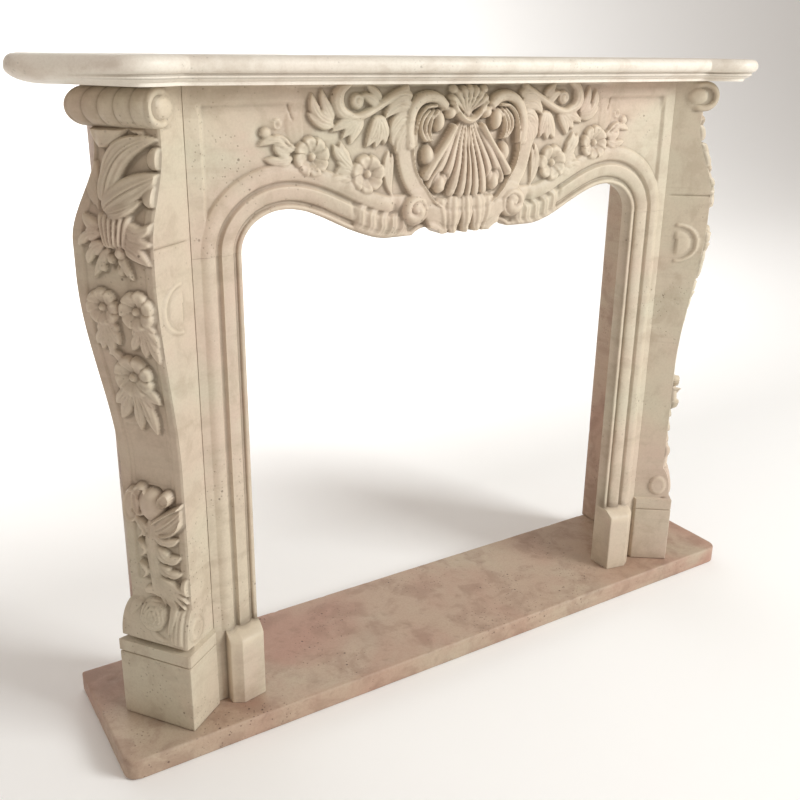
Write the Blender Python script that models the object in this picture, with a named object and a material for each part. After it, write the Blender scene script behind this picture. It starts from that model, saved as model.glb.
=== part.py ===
"""Carved stone fireplace mantel with a shaped arch and canted console legs.

Metres, Z up. X runs along the wall, the wall face is the back of the hearth, and the front faces -Y.
The shapes are first worked out with the wall face at Y = 0, then every piece is placed by DEPTH / 2.
"""
import math

import bpy
import numpy as np

# Clearance between touching stones
GAP = 0.0003

# Heights above the floor
HEARTH_THICKNESS = 0.040
PLINTH_TOP = 0.164
JAMB_FOOT_TOP = 0.179
SPRING_HEIGHT = 0.838
SHELF_UNDERSIDE = 1.090
SHELF_THICKNESS = 0.040

# Hearth slab
HEARTH_LEFT_REACH = 0.687
HEARTH_RIGHT_REACH = 0.720
HEARTH_DEPTH = 0.284
HEARTH_EDGE_RADIUS = 0.005
HEARTH_CORNER_RADIUS = 0.024

# Front board: frieze above, jambs below
BOARD_FRONT = -0.210
BOARD_THICKNESS = 0.032
JAMB_WIDTH = 0.084

# Opening
OPENING_HALF_WIDTH = 0.416
BOARD_HALF_WIDTH = OPENING_HALF_WIDTH + JAMB_WIDTH
CORNER_WIDTH = 0.076
CORNER_RISE = 0.062
DROP_END = 0.150
NOTCH_CENTRE = 0.077
NOTCH_HALF_WIDTH = 0.026
NOTCH_RISE = 0.012

# Moulding round the opening, as distances from its edge
BEAD_WIDTH = 0.008
GROOVE_WIDTH = 0.006
OVOLO_WIDTH = 0.022
COVE_WIDTH = 0.011
TORUS_WIDTH = 0.023
BEAD_RECESS = 0.009
GROOVE_RECESS = 0.014
COVE_RECESS = 0.006
TORUS_RISE = 0.003

# Sunk panels
PANEL_SIDE_MARGIN = 0.022
PANEL_TOP_MARGIN = 0.024
PANEL_SLOPE = 0.009
PANEL_SINK = 0.005

# Jamb foot, as distances from the opening's edge and from the board's front
FOOT_RIDGE = 0.044
FOOT_OUTER_MARGIN = 0.020
FOOT_INNER_PROJECTION = 0.019
FOOT_RIDGE_PROJECTION = 0.028
FOOT_OUTER_PROJECTION = 0.017
FOOT_SLOPE_HEIGHT = 0.014

# Legs: front corner of the plinth, the turn of the carved face and its stones
LEG_CORNER_X = BOARD_HALF_WIDTH + 0.064
LEG_CORNER_Y = -0.265
LEG_TURN = math.radians(54.0)
LEG_BACK = -0.150
LEG_SIDE_INSET = 0.008
CAP_HEIGHT = 0.026
WAIST_SET_BACK = 0.024
WAIST_TOP = 0.500
BELLY_BOTTOM = 0.820
BELLY_TOP = 0.870
BELLY_PROJECTION = 0.008
NECK_HEIGHT = 1.005
NECK_SET_BACK = 0.027
ROLL_RADIUS = 0.0285
ROLL_PROJECTION = 0.003
ROLL_FLUTES = 5
CUSHION_MIDDLE = 0.198
CUSHION_REACH = 0.067
CUSHION_SEAT = 0.030
CUSHION_RISE = 0.024
CUSHION_JOINT = 0.004

# Return slabs behind the legs
RETURN_INNER = 0.550
RETURN_THICKNESS = 0.035

# Shelf outline, measured on its rounded nosing
SHELF_BACK_HALF_WIDTH = BOARD_HALF_WIDTH + 0.190
SHELF_TIP_HALF_WIDTH = SHELF_BACK_HALF_WIDTH + 0.045
SHELF_TIP_DEPTH = 0.199
SHELF_EAR_START = BOARD_HALF_WIDTH + 0.080
SHELF_EAR_X = SHELF_EAR_START + 0.023
SHELF_EAR_DEPTH = 0.316
SHELF_VALLEY_X = BOARD_HALF_WIDTH + 0.011
SHELF_VALLEY_DEPTH = 0.282
SHELF_RUN_X = BOARD_HALF_WIDTH - 0.170
SHELF_RUN_DEPTH = 0.289
SHELF_BOW_DEPTH = 0.304
SHELF_CORNER_ROUNDING = 0.022
SHELF_END_SET_BACK = 0.070
SHELF_END_EDGE = 0.016
SHELF_END_MIDDLE = 0.023
NOSING_HEIGHT = 0.024
STEP_HEIGHT = 0.003
BAND_HEIGHT = 0.007
STEP_SET_BACK = 0.010
BAND_SET_BACK = 0.007

# Sheaf of ribs on the leg's belly, as u and z on its face
BUNDLE_MIDDLE = 0.0625
BUNDLE_HALF_WIDTH = 0.029
BUNDLE_FOOT = 0.868
BUNDLE_TOP = 0.913
BUNDLE_RIBS = 6

# Triangles kept on the carved stones
FRIEZE_TRIANGLES = 3500
LEG_TRIANGLES = 1900

DEPTH = SHELF_EAR_DEPTH


# Stones and their finish
def stone(name, colour, roughness):
    material = bpy.data.materials.new(name)
    material.use_nodes = True
    shader = material.node_tree.nodes["Principled BSDF"]
    shader.inputs["Base Color"].default_value = (*colour, 1.0)
    shader.inputs["Roughness"].default_value = roughness
    shader.inputs["Metallic"].default_value = 0.0
    return material


# Helpers that make closed solids
def add_piece(name, vertices, faces, material):
    mesh = bpy.data.meshes.new(name)
    mesh.from_pydata([tuple(v) for v in vertices], [], faces)
    mesh.update()
    mesh.materials.append(material)
    piece = bpy.data.objects.new(name, mesh)
    piece.location = (0.0, DEPTH / 2, 0.0)
    bpy.context.collection.objects.link(piece)
    return piece


def solid_from_rings(name, rings, material, flip=False):
    """Close a stack of equal rings with a face at each end."""
    count = len(rings[0])
    vertices = [point for ring in rings for point in ring]
    faces = [list(range(count))[::-1]]
    for level in range(len(rings) - 1):
        low = level * count
        for i in range(count):
            j = (i + 1) % count
            faces.append([low + i, low + j, low + count + j, low + count + i])
    faces.append([(len(rings) - 1) * count + i for i in range(count)])
    if flip:
        faces = [face[::-1] for face in faces]
    return add_piece(name, vertices, faces, material)


def prism(name, outline, bottom, top, material, flip=False):
    rings = [[(x, y, z) for x, y in outline] for z in (bottom, top)]
    return solid_from_rings(name, rings, material, flip)


def mirrored(outline):
    return [(-x, y) for x, y in outline]


def simplify(piece, triangles):
    """Thin the fine carving grid to the number of triangles kept, flat faces first."""
    piece.data.calc_loop_triangles()
    reducer = piece.modifiers.new("thin", "DECIMATE")
    reducer.ratio = min(1.0, triangles / len(piece.data.loop_triangles))
    reducer.use_collapse_triangulate = True


def smooth_step(value, start, end):
    t = np.clip((value - start) / (end - start), 0.0, 1.0)
    return t * t * (3.0 - 2.0 * t)


# Carved forms: each gives a height over the points (x, z), and 0 outside itself
def round_top(distance, height):
    return height * np.sqrt(np.clip(1.0 - distance ** 2, 0.0, 1.0))


def ball(x, z, cx, cz, radius_x, radius_z, height):
    return round_top(np.hypot((x - cx) / radius_x, (z - cz) / radius_z), height)


def flower(x, z, cx, cz, radius, petals, height, turn=0.0):
    reach = np.hypot(x - cx, z - cz) / radius
    angle = np.arctan2(z - cz, x - cx) + turn + 0.35 * reach
    wave = np.abs(np.cos(petals * angle / 2))
    edge = 0.84 + 0.16 * np.sqrt(wave)
    inside = np.clip(1.0 - (reach / edge) ** 4, 0.0, 1.0)
    petal = height * np.sqrt(inside) * (0.45 + 0.55 * np.sqrt(wave))
    cup = petal * (0.55 + 0.45 * smooth_step(reach, 0.1, 0.6))
    return np.maximum(cup, ball(x, z, cx, cz, 0.25 * radius, 0.25 * radius, 0.9 * height))


def leaf(x, z, start, end, bend, width, height, lobes=0):
    """A leaf along an arched rib from start to end, with a grooved rib and lobed edges."""
    run_x, run_z = end[0] - start[0], end[1] - start[1]
    length = math.hypot(run_x, run_z)
    along = ((x - start[0]) * run_x + (z - start[1]) * run_z) / length ** 2
    across = ((z - start[1]) * run_x - (x - start[0]) * run_z) / length
    inside = np.clip(along, 0.0, 1.0)
    across = across - 4.0 * bend * inside * (1.0 - inside)
    half = width * np.sin(math.pi * inside ** 0.75) ** 0.7 + 1e-6
    if lobes:
        half = half * (0.80 + 0.20 * np.abs(np.cos(math.pi * lobes * inside)))
    share = np.abs(across) / half
    crown = round_top(np.clip(share, 0.0, 1.0), height) * (0.72 + 0.28 * np.clip(share * 3.0, 0.0, 1.0))
    return np.where((along > 0.0) & (along < 1.0), crown, 0.0)


def band(x, z, path, width, height):
    """A rounded band along a path of (x, z, width share) points."""
    best = np.full(np.shape(x), 9.0)
    for (ax, az, aw), (bx, bz, bw) in zip(path, path[1:]):
        length = max(math.hypot(bx - ax, bz - az), 1e-6)
        t = np.clip(((x - ax) * (bx - ax) + (z - az) * (bz - az)) / length ** 2, 0.0, 1.0)
        distance = np.hypot(x - ax - t * (bx - ax), z - az - t * (bz - az))
        best = np.minimum(best, distance / (width * (aw + t * (bw - aw))))
    return round_top(best, height)


def spiral(cx, cz, start_radius, end_radius, start_angle, turns, steps=28):
    path = []
    for i in range(steps + 1):
        t = i / steps
        radius = start_radius + (end_radius - start_radius) * t
        angle = start_angle + turns * 2 * math.pi * t
        path.append((cx + radius * math.cos(angle), cz + radius * math.sin(angle), 1.0 - 0.45 * t))
    return path


def fan(x, z, cx, cz, inner, outer, half_angle, ribs, height):
    """A fan of rounded ribs that opens downwards from its centre."""
    reach = np.hypot(x - cx, z - cz)
    angle = np.arctan2(x - cx, cz - z)
    place = (angle / half_angle + 1.0) * ribs / 2
    rib = np.abs(np.sin(math.pi * place))
    end = outer * (0.95 + 0.05 * rib)
    crown = height * (0.55 + 0.45 * np.sqrt(rib)) * (0.60 + 0.40 * np.cos(angle / half_angle * 1.2))
    tip = round_top(np.clip((reach - 0.80 * end) / (0.20 * end), 0.0, 1.0), 1.0)
    root = smooth_step(reach, inner * 0.6, inner * 1.4)
    inside = (np.abs(angle) < half_angle) & (reach < end)
    return np.where(inside, crown * tip * (0.7 + 0.3 * root), 0.0)


# Opening edge, half of it from the spring to the middle
def opening_height(x):
    """Height of the opening edge at a distance x from the middle, up to the corner's crown."""
    crown = SPRING_HEIGHT + CORNER_RISE
    fall = smooth_step(np.abs(x), DROP_END, OPENING_HALF_WIDTH - CORNER_WIDTH)
    notch = np.clip(1.0 - ((np.abs(x) - NOTCH_CENTRE) / NOTCH_HALF_WIDTH) ** 2, 0.0, 1.0)
    return SPRING_HEIGHT + (crown - SPRING_HEIGHT) * fall + NOTCH_RISE * notch


def arch_columns(corner_steps, straight_steps):
    """Pairs of an opening point and the board point above or beside it, from left to right."""
    corner_x = OPENING_HALF_WIDTH - CORNER_WIDTH
    side = BOARD_HALF_WIDTH - corner_x
    rise = SHELF_UNDERSIDE - GAP - SPRING_HEIGHT
    side_steps = int(corner_steps * rise / (rise + side))
    half = []
    for i in range(corner_steps):
        angle = math.pi / 2 * i / corner_steps
        inner = (corner_x + CORNER_WIDTH * math.cos(angle), SPRING_HEIGHT + CORNER_RISE * math.sin(angle))
        if i <= side_steps:
            outer = (BOARD_HALF_WIDTH, SPRING_HEIGHT + rise * i / side_steps)
        else:
            share = (i - side_steps) / (corner_steps - side_steps)
            outer = (BOARD_HALF_WIDTH - side * share, SPRING_HEIGHT + rise)
        half.append((inner, outer))
    for i in range(straight_steps + 1):
        x = corner_x * (1.0 - i / straight_steps)
        half.append(((x, float(opening_height(x))), (x, SPRING_HEIGHT + rise)))
    left = [((-a, b), (-c, d)) for (a, b), (c, d) in half]
    return left + half[-2::-1]


def opening_edge():
    """Closely spaced points along the whole opening edge and down both jambs."""
    edge = [inner for inner, outer in arch_columns(24, 90)]
    foot = [(-OPENING_HALF_WIDTH, HEARTH_THICKNESS)]
    return np.array(foot + edge + [(OPENING_HALF_WIDTH, HEARTH_THICKNESS)])


def distance_to_edge(x, z, edge):
    best = np.full(x.shape, 9.0)
    for (ax, az), (bx, bz) in zip(edge, edge[1:]):
        run = (bx - ax) ** 2 + (bz - az) ** 2
        t = np.clip(((x - ax) * (bx - ax) + (z - az) * (bz - az)) / run, 0.0, 1.0)
        best = np.minimum(best, np.hypot(x - ax - t * (bx - ax), z - az - t * (bz - az)))
    return best


def moulding(e):
    """Height of the moulding over the board's face at a distance e from the opening edge."""
    groove_start = BEAD_WIDTH
    ovolo_start = groove_start + GROOVE_WIDTH
    cove_start = ovolo_start + OVOLO_WIDTH
    torus_start = cove_start + COVE_WIDTH
    torus_end = torus_start + TORUS_WIDTH
    bead = -BEAD_RECESS + round_top(2 * e / BEAD_WIDTH - 1, 0.4 * BEAD_WIDTH)
    groove = np.full(e.shape, -GROOVE_RECESS)
    share = np.clip((e - ovolo_start) / OVOLO_WIDTH, 0.0, 1.0)
    ovolo = -BEAD_RECESS + BEAD_RECESS * np.sqrt(np.clip(1.0 - (1.0 - share) ** 2, 0.0, 1.0))
    cove = -COVE_RECESS * np.sin(math.pi * np.clip((e - cove_start) / COVE_WIDTH, 0.0, 1.0))
    torus = TORUS_RISE * np.sin(math.pi * np.clip((e - torus_start) / TORUS_WIDTH, 0.0, 1.0))
    parts = [e < groove_start, e < ovolo_start, e < cove_start, e < torus_start, e < torus_end]
    return np.select(parts, [bead, groove, ovolo, cove, torus], 0.0)


MOULDING_WIDTH = BEAD_WIDTH + GROOVE_WIDTH + OVOLO_WIDTH + COVE_WIDTH + TORUS_WIDTH


def frieze_carving(x, z):
    """Height of the carving over the frieze, drawn once and mirrored about the middle."""
    a = np.abs(x)
    forms = [
        flower(a, z, 0.2955, 0.980, 0.0325, 8, 0.0165),
        flower(a, z, 0.195, 0.948, 0.0325, 7, 0.0175, 0.4),
        ball(a, z, 0.371, 1.0185, 0.0095, 0.0085, 0.008),
        ball(a, z, 0.352, 1.031, 0.007, 0.0085, 0.007),
        leaf(a, z, (0.330, 0.996), (0.385, 1.000), 0.004, 0.010, 0.010, 2),
        leaf(a, z, (0.328, 0.980), (0.375, 0.980), -0.003, 0.009, 0.010, 2),
        leaf(a, z, (0.222, 0.960), (0.257, 0.997), 0.004, 0.012, 0.011, 2),
        leaf(a, z, (0.220, 0.942), (0.272, 0.939), -0.002, 0.011, 0.010, 2),
        leaf(a, z, (0.256, 1.032), (0.293, 1.076), -0.008, 0.014, 0.013, 2),
        leaf(a, z, (0.256, 1.028), (0.301, 1.047), 0.002, 0.011, 0.012),
        leaf(a, z, (0.204, 1.036), (0.261, 1.017), 0.005, 0.012, 0.014),
        leaf(a, z, (0.204, 1.036), (0.2265, 0.996), 0.004, 0.012, 0.014),
        leaf(a, z, (0.176, 1.040), (0.1985, 0.991), 0.003, 0.013, 0.015),
        leaf(a, z, (0.176, 1.040), (0.1625, 0.994), 0.002, 0.013, 0.015),
        leaf(a, z, (0.152, 0.982), (0.144, 0.907), -0.004, 0.011, 0.012),
        leaf(a, z, (0.112, 1.066), (0.157, 1.052), 0.004, 0.011, 0.016),
        leaf(a, z, (0.112, 1.050), (0.164, 1.035), 0.004, 0.011, 0.017),
        leaf(a, z, (0.112, 1.034), (0.1535, 1.008), 0.006, 0.011, 0.016),
        leaf(a, z, (0.108, 1.038), (0.136, 0.970), 0.008, 0.013, 0.017),
        band(a, z, [(0.228, 1.086, 0.6), (0.2495, 1.061, 1.3), (0.222, 1.039, 0.9)], 0.010, 0.014),
        band(a, z, [(0.240, 1.045, 0.9), (0.2017, 1.0415, 1.0), (0.1465, 1.070, 0.9), (0.124, 1.081, 0.8)],
             0.0078, 0.015),
        band(a, z, [(0.128, 1.004, 0.9), (0.127, 0.976, 0.9), (0.103, 0.918, 1.0), (0.064, 0.866, 1.0)],
             0.016, 0.014),
        band(a, z, [(0.118, 0.992, 0.8), (0.113, 1.046, 1.0), (0.080, 1.0675, 1.0), (0.050, 1.053, 0.8)],
             0.013, 0.021),
        ball(a, z, 0.070, 1.025, 0.020, 0.024, 0.019),
        ball(a, z, 0.080, 0.973, 0.012, 0.018, 0.017),
        ball(a, z, 0.057, 0.925, 0.013, 0.017, 0.021),
        ball(a, z, 0.0375, 1.0415, 0.011, 0.011, 0.020),
        ball(a, z, 0.0115, 1.076, 0.0095, 0.0095, 0.018),
        ball(a, z, 0.1045, 0.8835, 0.0275, 0.0275, 0.013),
        band(a, z, spiral(0.1045, 0.8835, 0.022, 0.004, 2.2, -1.4), 0.008, 0.022),
        fan(a, z, 0.0, 1.054, 0.034, 0.158, math.radians(36.0), 9, 0.027),
        fan(a, z, 0.0, 1.088, 0.010, 0.050, math.radians(58.0), 7, 0.020),
    ]
    lappets = (a < 0.062) & (z < 0.890)
    fold = 0.017 * (0.60 + 0.40 * np.abs(np.cos(math.pi * a / 0.030)))
    forms.append(np.where(lappets, fold * smooth_step(0.892 - z, 0.0, 0.010), 0.0))
    return np.maximum.reduce(forms)


def leaf_wrap(x, e):
    """Leafy ribs that wrap over the opening's moulding on both sides of the middle."""
    a = np.abs(x)
    start, end, reach = 0.112, 0.216, 0.046
    share = np.clip((a - start) / (end - start), 0.0, 1.0)
    rib = 0.55 + 0.45 * np.abs(np.sin(math.pi * 6 * share))
    swell = np.sqrt(np.clip(1.0 - (2.0 * e / reach - 1.0) ** 2, 0.0, 1.0))
    ends = np.clip(8.0 * share * (1.0 - share), 0.0, 1.0)
    return np.where((share > 0.0) & (share < 1.0), 0.014 * rib * swell * ends, 0.0)


def frieze_relief(x, z, edge):
    e = distance_to_edge(x, z, edge)
    face = moulding(e)
    a = np.abs(x)
    side_in = smooth_step(BOARD_HALF_WIDTH - PANEL_SIDE_MARGIN - a, 0.0, PANEL_SLOPE)
    top_in = smooth_step(SHELF_UNDERSIDE - PANEL_TOP_MARGIN - z, 0.0, PANEL_SLOPE)
    low_in = smooth_step(e - MOULDING_WIDTH, 0.0, 0.004)
    over_carving = smooth_step(SHELF_RUN_X - a, 0.0, PANEL_SLOPE) * (z < SHELF_UNDERSIDE - 0.004)
    field = side_in * low_in * np.maximum(top_in, over_carving)
    face = face - PANEL_SINK * field
    carved = frieze_carving(x, z)
    wrap = leaf_wrap(x, e)
    lift = np.where(carved > 0.0, carved - 0.004, -1.0)
    wrapped = np.where(wrap > 0.0, wrap - 0.008, -1.0)
    return np.maximum(face, np.maximum(lift, wrapped))


def build_frieze(material):
    edge = opening_edge()
    columns = arch_columns(56, 72)
    steps = 58
    share = np.linspace(0.0, 1.0, steps + 1)
    inner = np.array([pair[0] for pair in columns])
    outer = np.array([pair[1] for pair in columns])
    x = inner[:, :1] + (outer[:, :1] - inner[:, :1]) * share
    z = inner[:, 1:] + (outer[:, 1:] - inner[:, 1:]) * share
    y = BOARD_FRONT - frieze_relief(x, z, edge)
    back = BOARD_FRONT + BOARD_THICKNESS
    rings = []
    for i in range(len(columns)):
        ring = [(x[i, j], y[i, j], z[i, j]) for j in range(steps + 1)]
        ring.append((outer[i, 0], back, outer[i, 1]))
        ring.append((inner[i, 0], back, inner[i, 1]))
        rings.append(ring)
    frieze = solid_from_rings("frieze", rings, material, flip=True)
    simplify(frieze, FRIEZE_TRIANGLES)
    return frieze


# Jambs
def jamb_outline(side, steps=30):
    widths = np.linspace(0.0, JAMB_WIDTH, steps)
    heights = moulding(widths)
    outline = [(OPENING_HALF_WIDTH + w, BOARD_FRONT - h) for w, h in zip(widths, heights)]
    back = BOARD_FRONT + BOARD_THICKNESS
    outline += [(BOARD_HALF_WIDTH, back), (OPENING_HALF_WIDTH, back)]
    return outline if side > 0 else mirrored(outline)


def foot_front(distance):
    """How far the foot stands out from the board, faceted along a ridge."""
    outer = JAMB_WIDTH - FOOT_OUTER_MARGIN
    places = (0.0, FOOT_RIDGE, outer)
    projections = (FOOT_INNER_PROJECTION, FOOT_RIDGE_PROJECTION, FOOT_OUTER_PROJECTION)
    return float(np.interp(distance, places, projections))


def build_jamb(name, side, material):
    """The moulded shaft and its projecting foot, cut from one stone."""
    profile = jamb_outline(side)
    outer = JAMB_WIDTH - FOOT_OUTER_MARGIN

    def foot_ring(z, share):
        """One level of the foot, with its front brought back to a share of its projection."""
        ring = []
        for x, y in profile:
            distance = abs(x) - OPENING_HALF_WIDTH
            if y > BOARD_FRONT + BOARD_THICKNESS - GAP:
                ring.append((x, y, z))
            elif distance > outer:
                ring.append((x, BOARD_FRONT, z))
            else:
                ring.append((x, BOARD_FRONT - share * foot_front(distance), z))
        return ring

    rings = [foot_ring(HEARTH_THICKNESS + GAP, 1.0), foot_ring(JAMB_FOOT_TOP - FOOT_SLOPE_HEIGHT, 1.0)]
    rings.append(foot_ring(JAMB_FOOT_TOP, 0.15))
    rings.append([(x, y, JAMB_FOOT_TOP + 0.002) for x, y in profile])
    rings.append([(x, y, SPRING_HEIGHT - GAP) for x, y in profile])
    return solid_from_rings(name, rings, material, flip=side < 0)


# Legs
ALONG = (math.cos(LEG_TURN), math.sin(LEG_TURN))
OUTWARD = (math.sin(LEG_TURN), -math.cos(LEG_TURN))


def leg_point(u, n):
    """Plan point of the right leg at u along its carved face and n out of it."""
    x = LEG_CORNER_X + u * ALONG[0] + n * OUTWARD[0]
    y = LEG_CORNER_Y + u * ALONG[1] + n * OUTWARD[1]
    return x, y


def face_width(n):
    return (LEG_BACK - LEG_CORNER_Y - n * OUTWARD[1]) / ALONG[1]


def flank_depth(inset):
    """How far the side face runs back before it meets the board's end."""
    start = LEG_CORNER_X + inset * ALONG[0]
    return (start - BOARD_HALF_WIDTH - GAP) / OUTWARD[0]


def leg_profile(z):
    """How far the carved face stands out from the plinth's face at each height."""
    cap_top = PLINTH_TOP + CAP_HEIGHT
    foot = -WAIST_SET_BACK * smooth_step(z, cap_top - 0.003, cap_top + 0.001)
    rise = (WAIST_SET_BACK + BELLY_PROJECTION) * smooth_step(z, WAIST_TOP, BELLY_BOTTOM)
    fall = (BELLY_PROJECTION + NECK_SET_BACK) * smooth_step(z, BELLY_TOP, NECK_HEIGHT)
    body = foot + rise - fall
    roll_height = SHELF_UNDERSIDE - ROLL_RADIUS - 0.001
    roll = ROLL_PROJECTION - ROLL_RADIUS + round_top((z - roll_height) / ROLL_RADIUS, ROLL_RADIUS)
    roll = np.where(np.abs(z - roll_height) < ROLL_RADIUS, roll, -1.0)
    cushion = round_top((z - CUSHION_MIDDLE) / CUSHION_REACH, CUSHION_RISE) - CUSHION_SEAT
    cushion = np.where(z > cap_top + CUSHION_JOINT, cushion, -1.0)
    return np.maximum(body, np.maximum(roll, cushion))


def leg_carving(u, z):
    """Height of the carving over the leg's face, u measured from its inner edge."""
    forms = [
        leaf(u, z, (0.078, 1.044), (0.096, 1.007), 0.0, 0.030, 0.019),
        leaf(u, z, (0.012, 1.010), (0.084, 0.936), 0.014, 0.021, 0.014, 3),
        leaf(u, z, (0.002, 0.968), (0.080, 0.924), 0.012, 0.018, 0.016, 3),
        leaf(u, z, (0.118, 0.965), (0.098, 0.916), 0.004, 0.012, 0.006, 3),
        ball(u, z, 0.008, 0.9915, 0.010, 0.015, 0.010),
        ball(u, z, 0.008, 0.943, 0.010, 0.016, 0.010),
        leaf(u, z, (0.042, 0.902), (0.000, 0.905), 0.006, 0.010, 0.012),
        leaf(u, z, (0.042, 0.876), (0.000, 0.862), 0.006, 0.012, 0.013, 2),
        leaf(u, z, (0.084, 0.882), (0.126, 0.868), 0.004, 0.010, 0.012, 2),
        leaf(u, z, (0.081, 0.866), (0.112, 0.840), 0.004, 0.011, 0.012, 2),
        flower(u, z, 0.094, 0.777, 0.029, 7, 0.015),
        flower(u, z, 0.034, 0.776, 0.030, 8, 0.016, 0.5),
        leaf(u, z, (0.096, 0.752), (0.100, 0.704), 0.003, 0.014, 0.010, 3),
        leaf(u, z, (0.028, 0.748), (0.014, 0.700), -0.005, 0.015, 0.010, 3),
        flower(u, z, 0.059, 0.668, 0.034, 8, 0.016, 0.2),
        leaf(u, z, (0.074, 0.646), (0.098, 0.600), 0.005, 0.012, 0.010, 3),
        leaf(u, z, (0.050, 0.646), (0.035, 0.578), -0.006, 0.014, 0.011, 3),
        leaf(u, z, (0.062, 0.640), (0.064, 0.579), 0.0, 0.012, 0.010, 3),
        ball(u, z, 0.050, 0.456, 0.029, 0.019, 0.018),
        leaf(u, z, (0.060, 0.462), (0.014, 0.436), -0.006, 0.014, 0.019, 2),
        leaf(u, z, (0.068, 0.462), (0.108, 0.436), 0.006, 0.014, 0.016, 2),
        leaf(u, z, (0.060, 0.430), (0.068, 0.372), 0.002, 0.010, 0.010, 2),
        leaf(u, z, (0.060, 0.392), (0.072, 0.330), 0.004, 0.011, 0.010, 3),
        leaf(u, z, (0.072, 0.400), (0.090, 0.338), 0.004, 0.009, 0.009, 2),
        leaf(u, z, (0.050, 0.400), (0.030, 0.342), -0.004, 0.009, 0.009, 2),
        leaf(u, z, (0.070, 0.330), (0.020, 0.304), 0.010, 0.014, 0.013, 3),
        leaf(u, z, (0.072, 0.330), (0.106, 0.300), -0.008, 0.012, 0.012, 3),
        flower(u, z, 0.062, 0.262, 0.030, 7, 0.018),
        leaf(u, z, (0.036, 0.262), (0.006, 0.236), 0.004, 0.012, 0.008, 2),
        leaf(u, z, (0.090, 0.262), (0.116, 0.236), -0.004, 0.012, 0.008, 2),
    ]
    rise = (z - BUNDLE_FOOT) / (BUNDLE_TOP - BUNDLE_FOOT)
    half = BUNDLE_HALF_WIDTH * (0.62 + 0.38 * np.clip(rise, 0.0, 1.0))
    across = (u - BUNDLE_MIDDLE) / half
    in_bundle = smooth_step(1.0 - np.abs(across), 0.0, 0.12)
    in_bundle = in_bundle * smooth_step(1.0 - np.abs(2 * rise - 1.0), 0.0, 0.3)
    ribs = 0.55 + 0.45 * np.abs(np.sin(math.pi * BUNDLE_RIBS * (across + 1.0) / 2))
    forms.append(0.013 * in_bundle * ribs)
    for knob_u, knob_z in ((0.071, 0.842), (0.053, 0.850), (0.040, 0.828), (0.104, 0.824)):
        forms.append(ball(u, z, knob_u, knob_z, 0.009, 0.010, 0.010))
    return np.maximum.reduce(forms)


def leg_relief(u, z, width):
    carved = leg_carving(u, z)
    flutes = 0.0045 * (np.abs(np.sin(math.pi * ROLL_FLUTES * u / width)) - 0.6)
    roll_bottom = SHELF_UNDERSIDE - 2 * ROLL_RADIUS
    on_roll = smooth_step(z, roll_bottom - 0.002, roll_bottom + 0.008)
    on_roll = on_roll * smooth_step(SHELF_UNDERSIDE - z, 0.0, 0.004)
    panel_top, panel_bottom, border = 0.584, 0.478, 0.010
    across = smooth_step(u, border, border + 0.003) * smooth_step(width - u, border, border + 0.003)
    upright = smooth_step(z, panel_bottom, panel_bottom + 0.004) * smooth_step(panel_top - z, 0.0, 0.004)
    sunk = -0.003 * across * upright
    edge = smooth_step(u, 0.0, 0.006) * smooth_step(width - u, 0.0, 0.006)
    return edge * np.maximum(carved, sunk) + flutes * on_roll * edge


def flank_relief(k, z):
    """Height of the low carving on the leg's side face, k measured back from the plinth's corner."""
    top = SHELF_UNDERSIDE - ROLL_RADIUS - 0.001
    middle = 0.028
    reach = np.hypot(k - middle, z - top)
    ring = round_top(np.clip((reach - 0.026) / 0.005, -1.0, 1.0), 0.004)
    boss = ball(k, z, middle, top, 0.017, 0.015, 0.005)
    half = np.hypot((k - 0.051) / 0.046, (z - 0.772) / 0.043)
    arc = np.where(k < 0.053, round_top(np.clip((half - 1.0) / 0.14, -1.0, 1.0), 0.003), 0.0)
    groove = -0.0025 * np.exp(-((z - 0.872) / 0.0025) ** 2)
    foot_scroll = ball(k, z, 0.034, 0.222, 0.019, 0.023, 0.004)
    return np.maximum.reduce([ring, boss, arc, foot_scroll]) + groove


def leg_ring(z, inset_share, side_steps, face_steps):
    """One level of the right leg as a closed ring of plan points."""
    n = float(leg_profile(np.array([z]))[0])
    inset = LEG_SIDE_INSET * inset_share
    depth = flank_depth(inset)
    ring = [(BOARD_HALF_WIDTH + GAP, LEG_BACK)]
    for i in range(side_steps):
        k = depth + (-n - depth) * i / side_steps
        fade = min(1.0, 6.0 * i / side_steps)
        lift = float(flank_relief(np.array([k]), np.array([z]))[0]) * fade
        ring.append(leg_point(inset - lift, -k))
    width = face_width(n)
    u = np.linspace(inset, width, face_steps + 1)
    relief = leg_relief(u - inset, np.full(u.shape, z), width - inset)
    ring += [leg_point(a, n + r) for a, r in zip(u, relief)]
    return [(x, y, z) for x, y in ring]


def build_leg(name, side, material):
    bottom = PLINTH_TOP + GAP
    top = SHELF_UNDERSIDE - GAP
    cap_top = PLINTH_TOP + CAP_HEIGHT
    levels = [bottom, cap_top - 0.003, cap_top - 0.001, cap_top + 0.001]
    count = 220
    start = levels[-1]
    levels += [start + (top - start) * i / count for i in range(1, count + 1)]
    rings = []
    for i, z in enumerate(levels):
        inset_share = float(smooth_step(z, cap_top - 0.001, cap_top + 0.001))
        ring = leg_ring(z, inset_share, 18, 40)
        rings.append([(side * x, y, h) for x, y, h in ring])
    leg = solid_from_rings(name, rings, material, flip=side < 0)
    simplify(leg, LEG_TRIANGLES)
    return leg


def build_leg_plinth(name, side, material):
    depth = flank_depth(0.0)
    outline = [(BOARD_HALF_WIDTH + GAP, LEG_BACK), leg_point(0.0, -depth), leg_point(0.0, 0.0),
               leg_point(face_width(0.0), 0.0)]
    if side < 0:
        outline = mirrored(outline)
    return prism(name, outline, HEARTH_THICKNESS + GAP, PLINTH_TOP, material, flip=side < 0)


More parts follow.
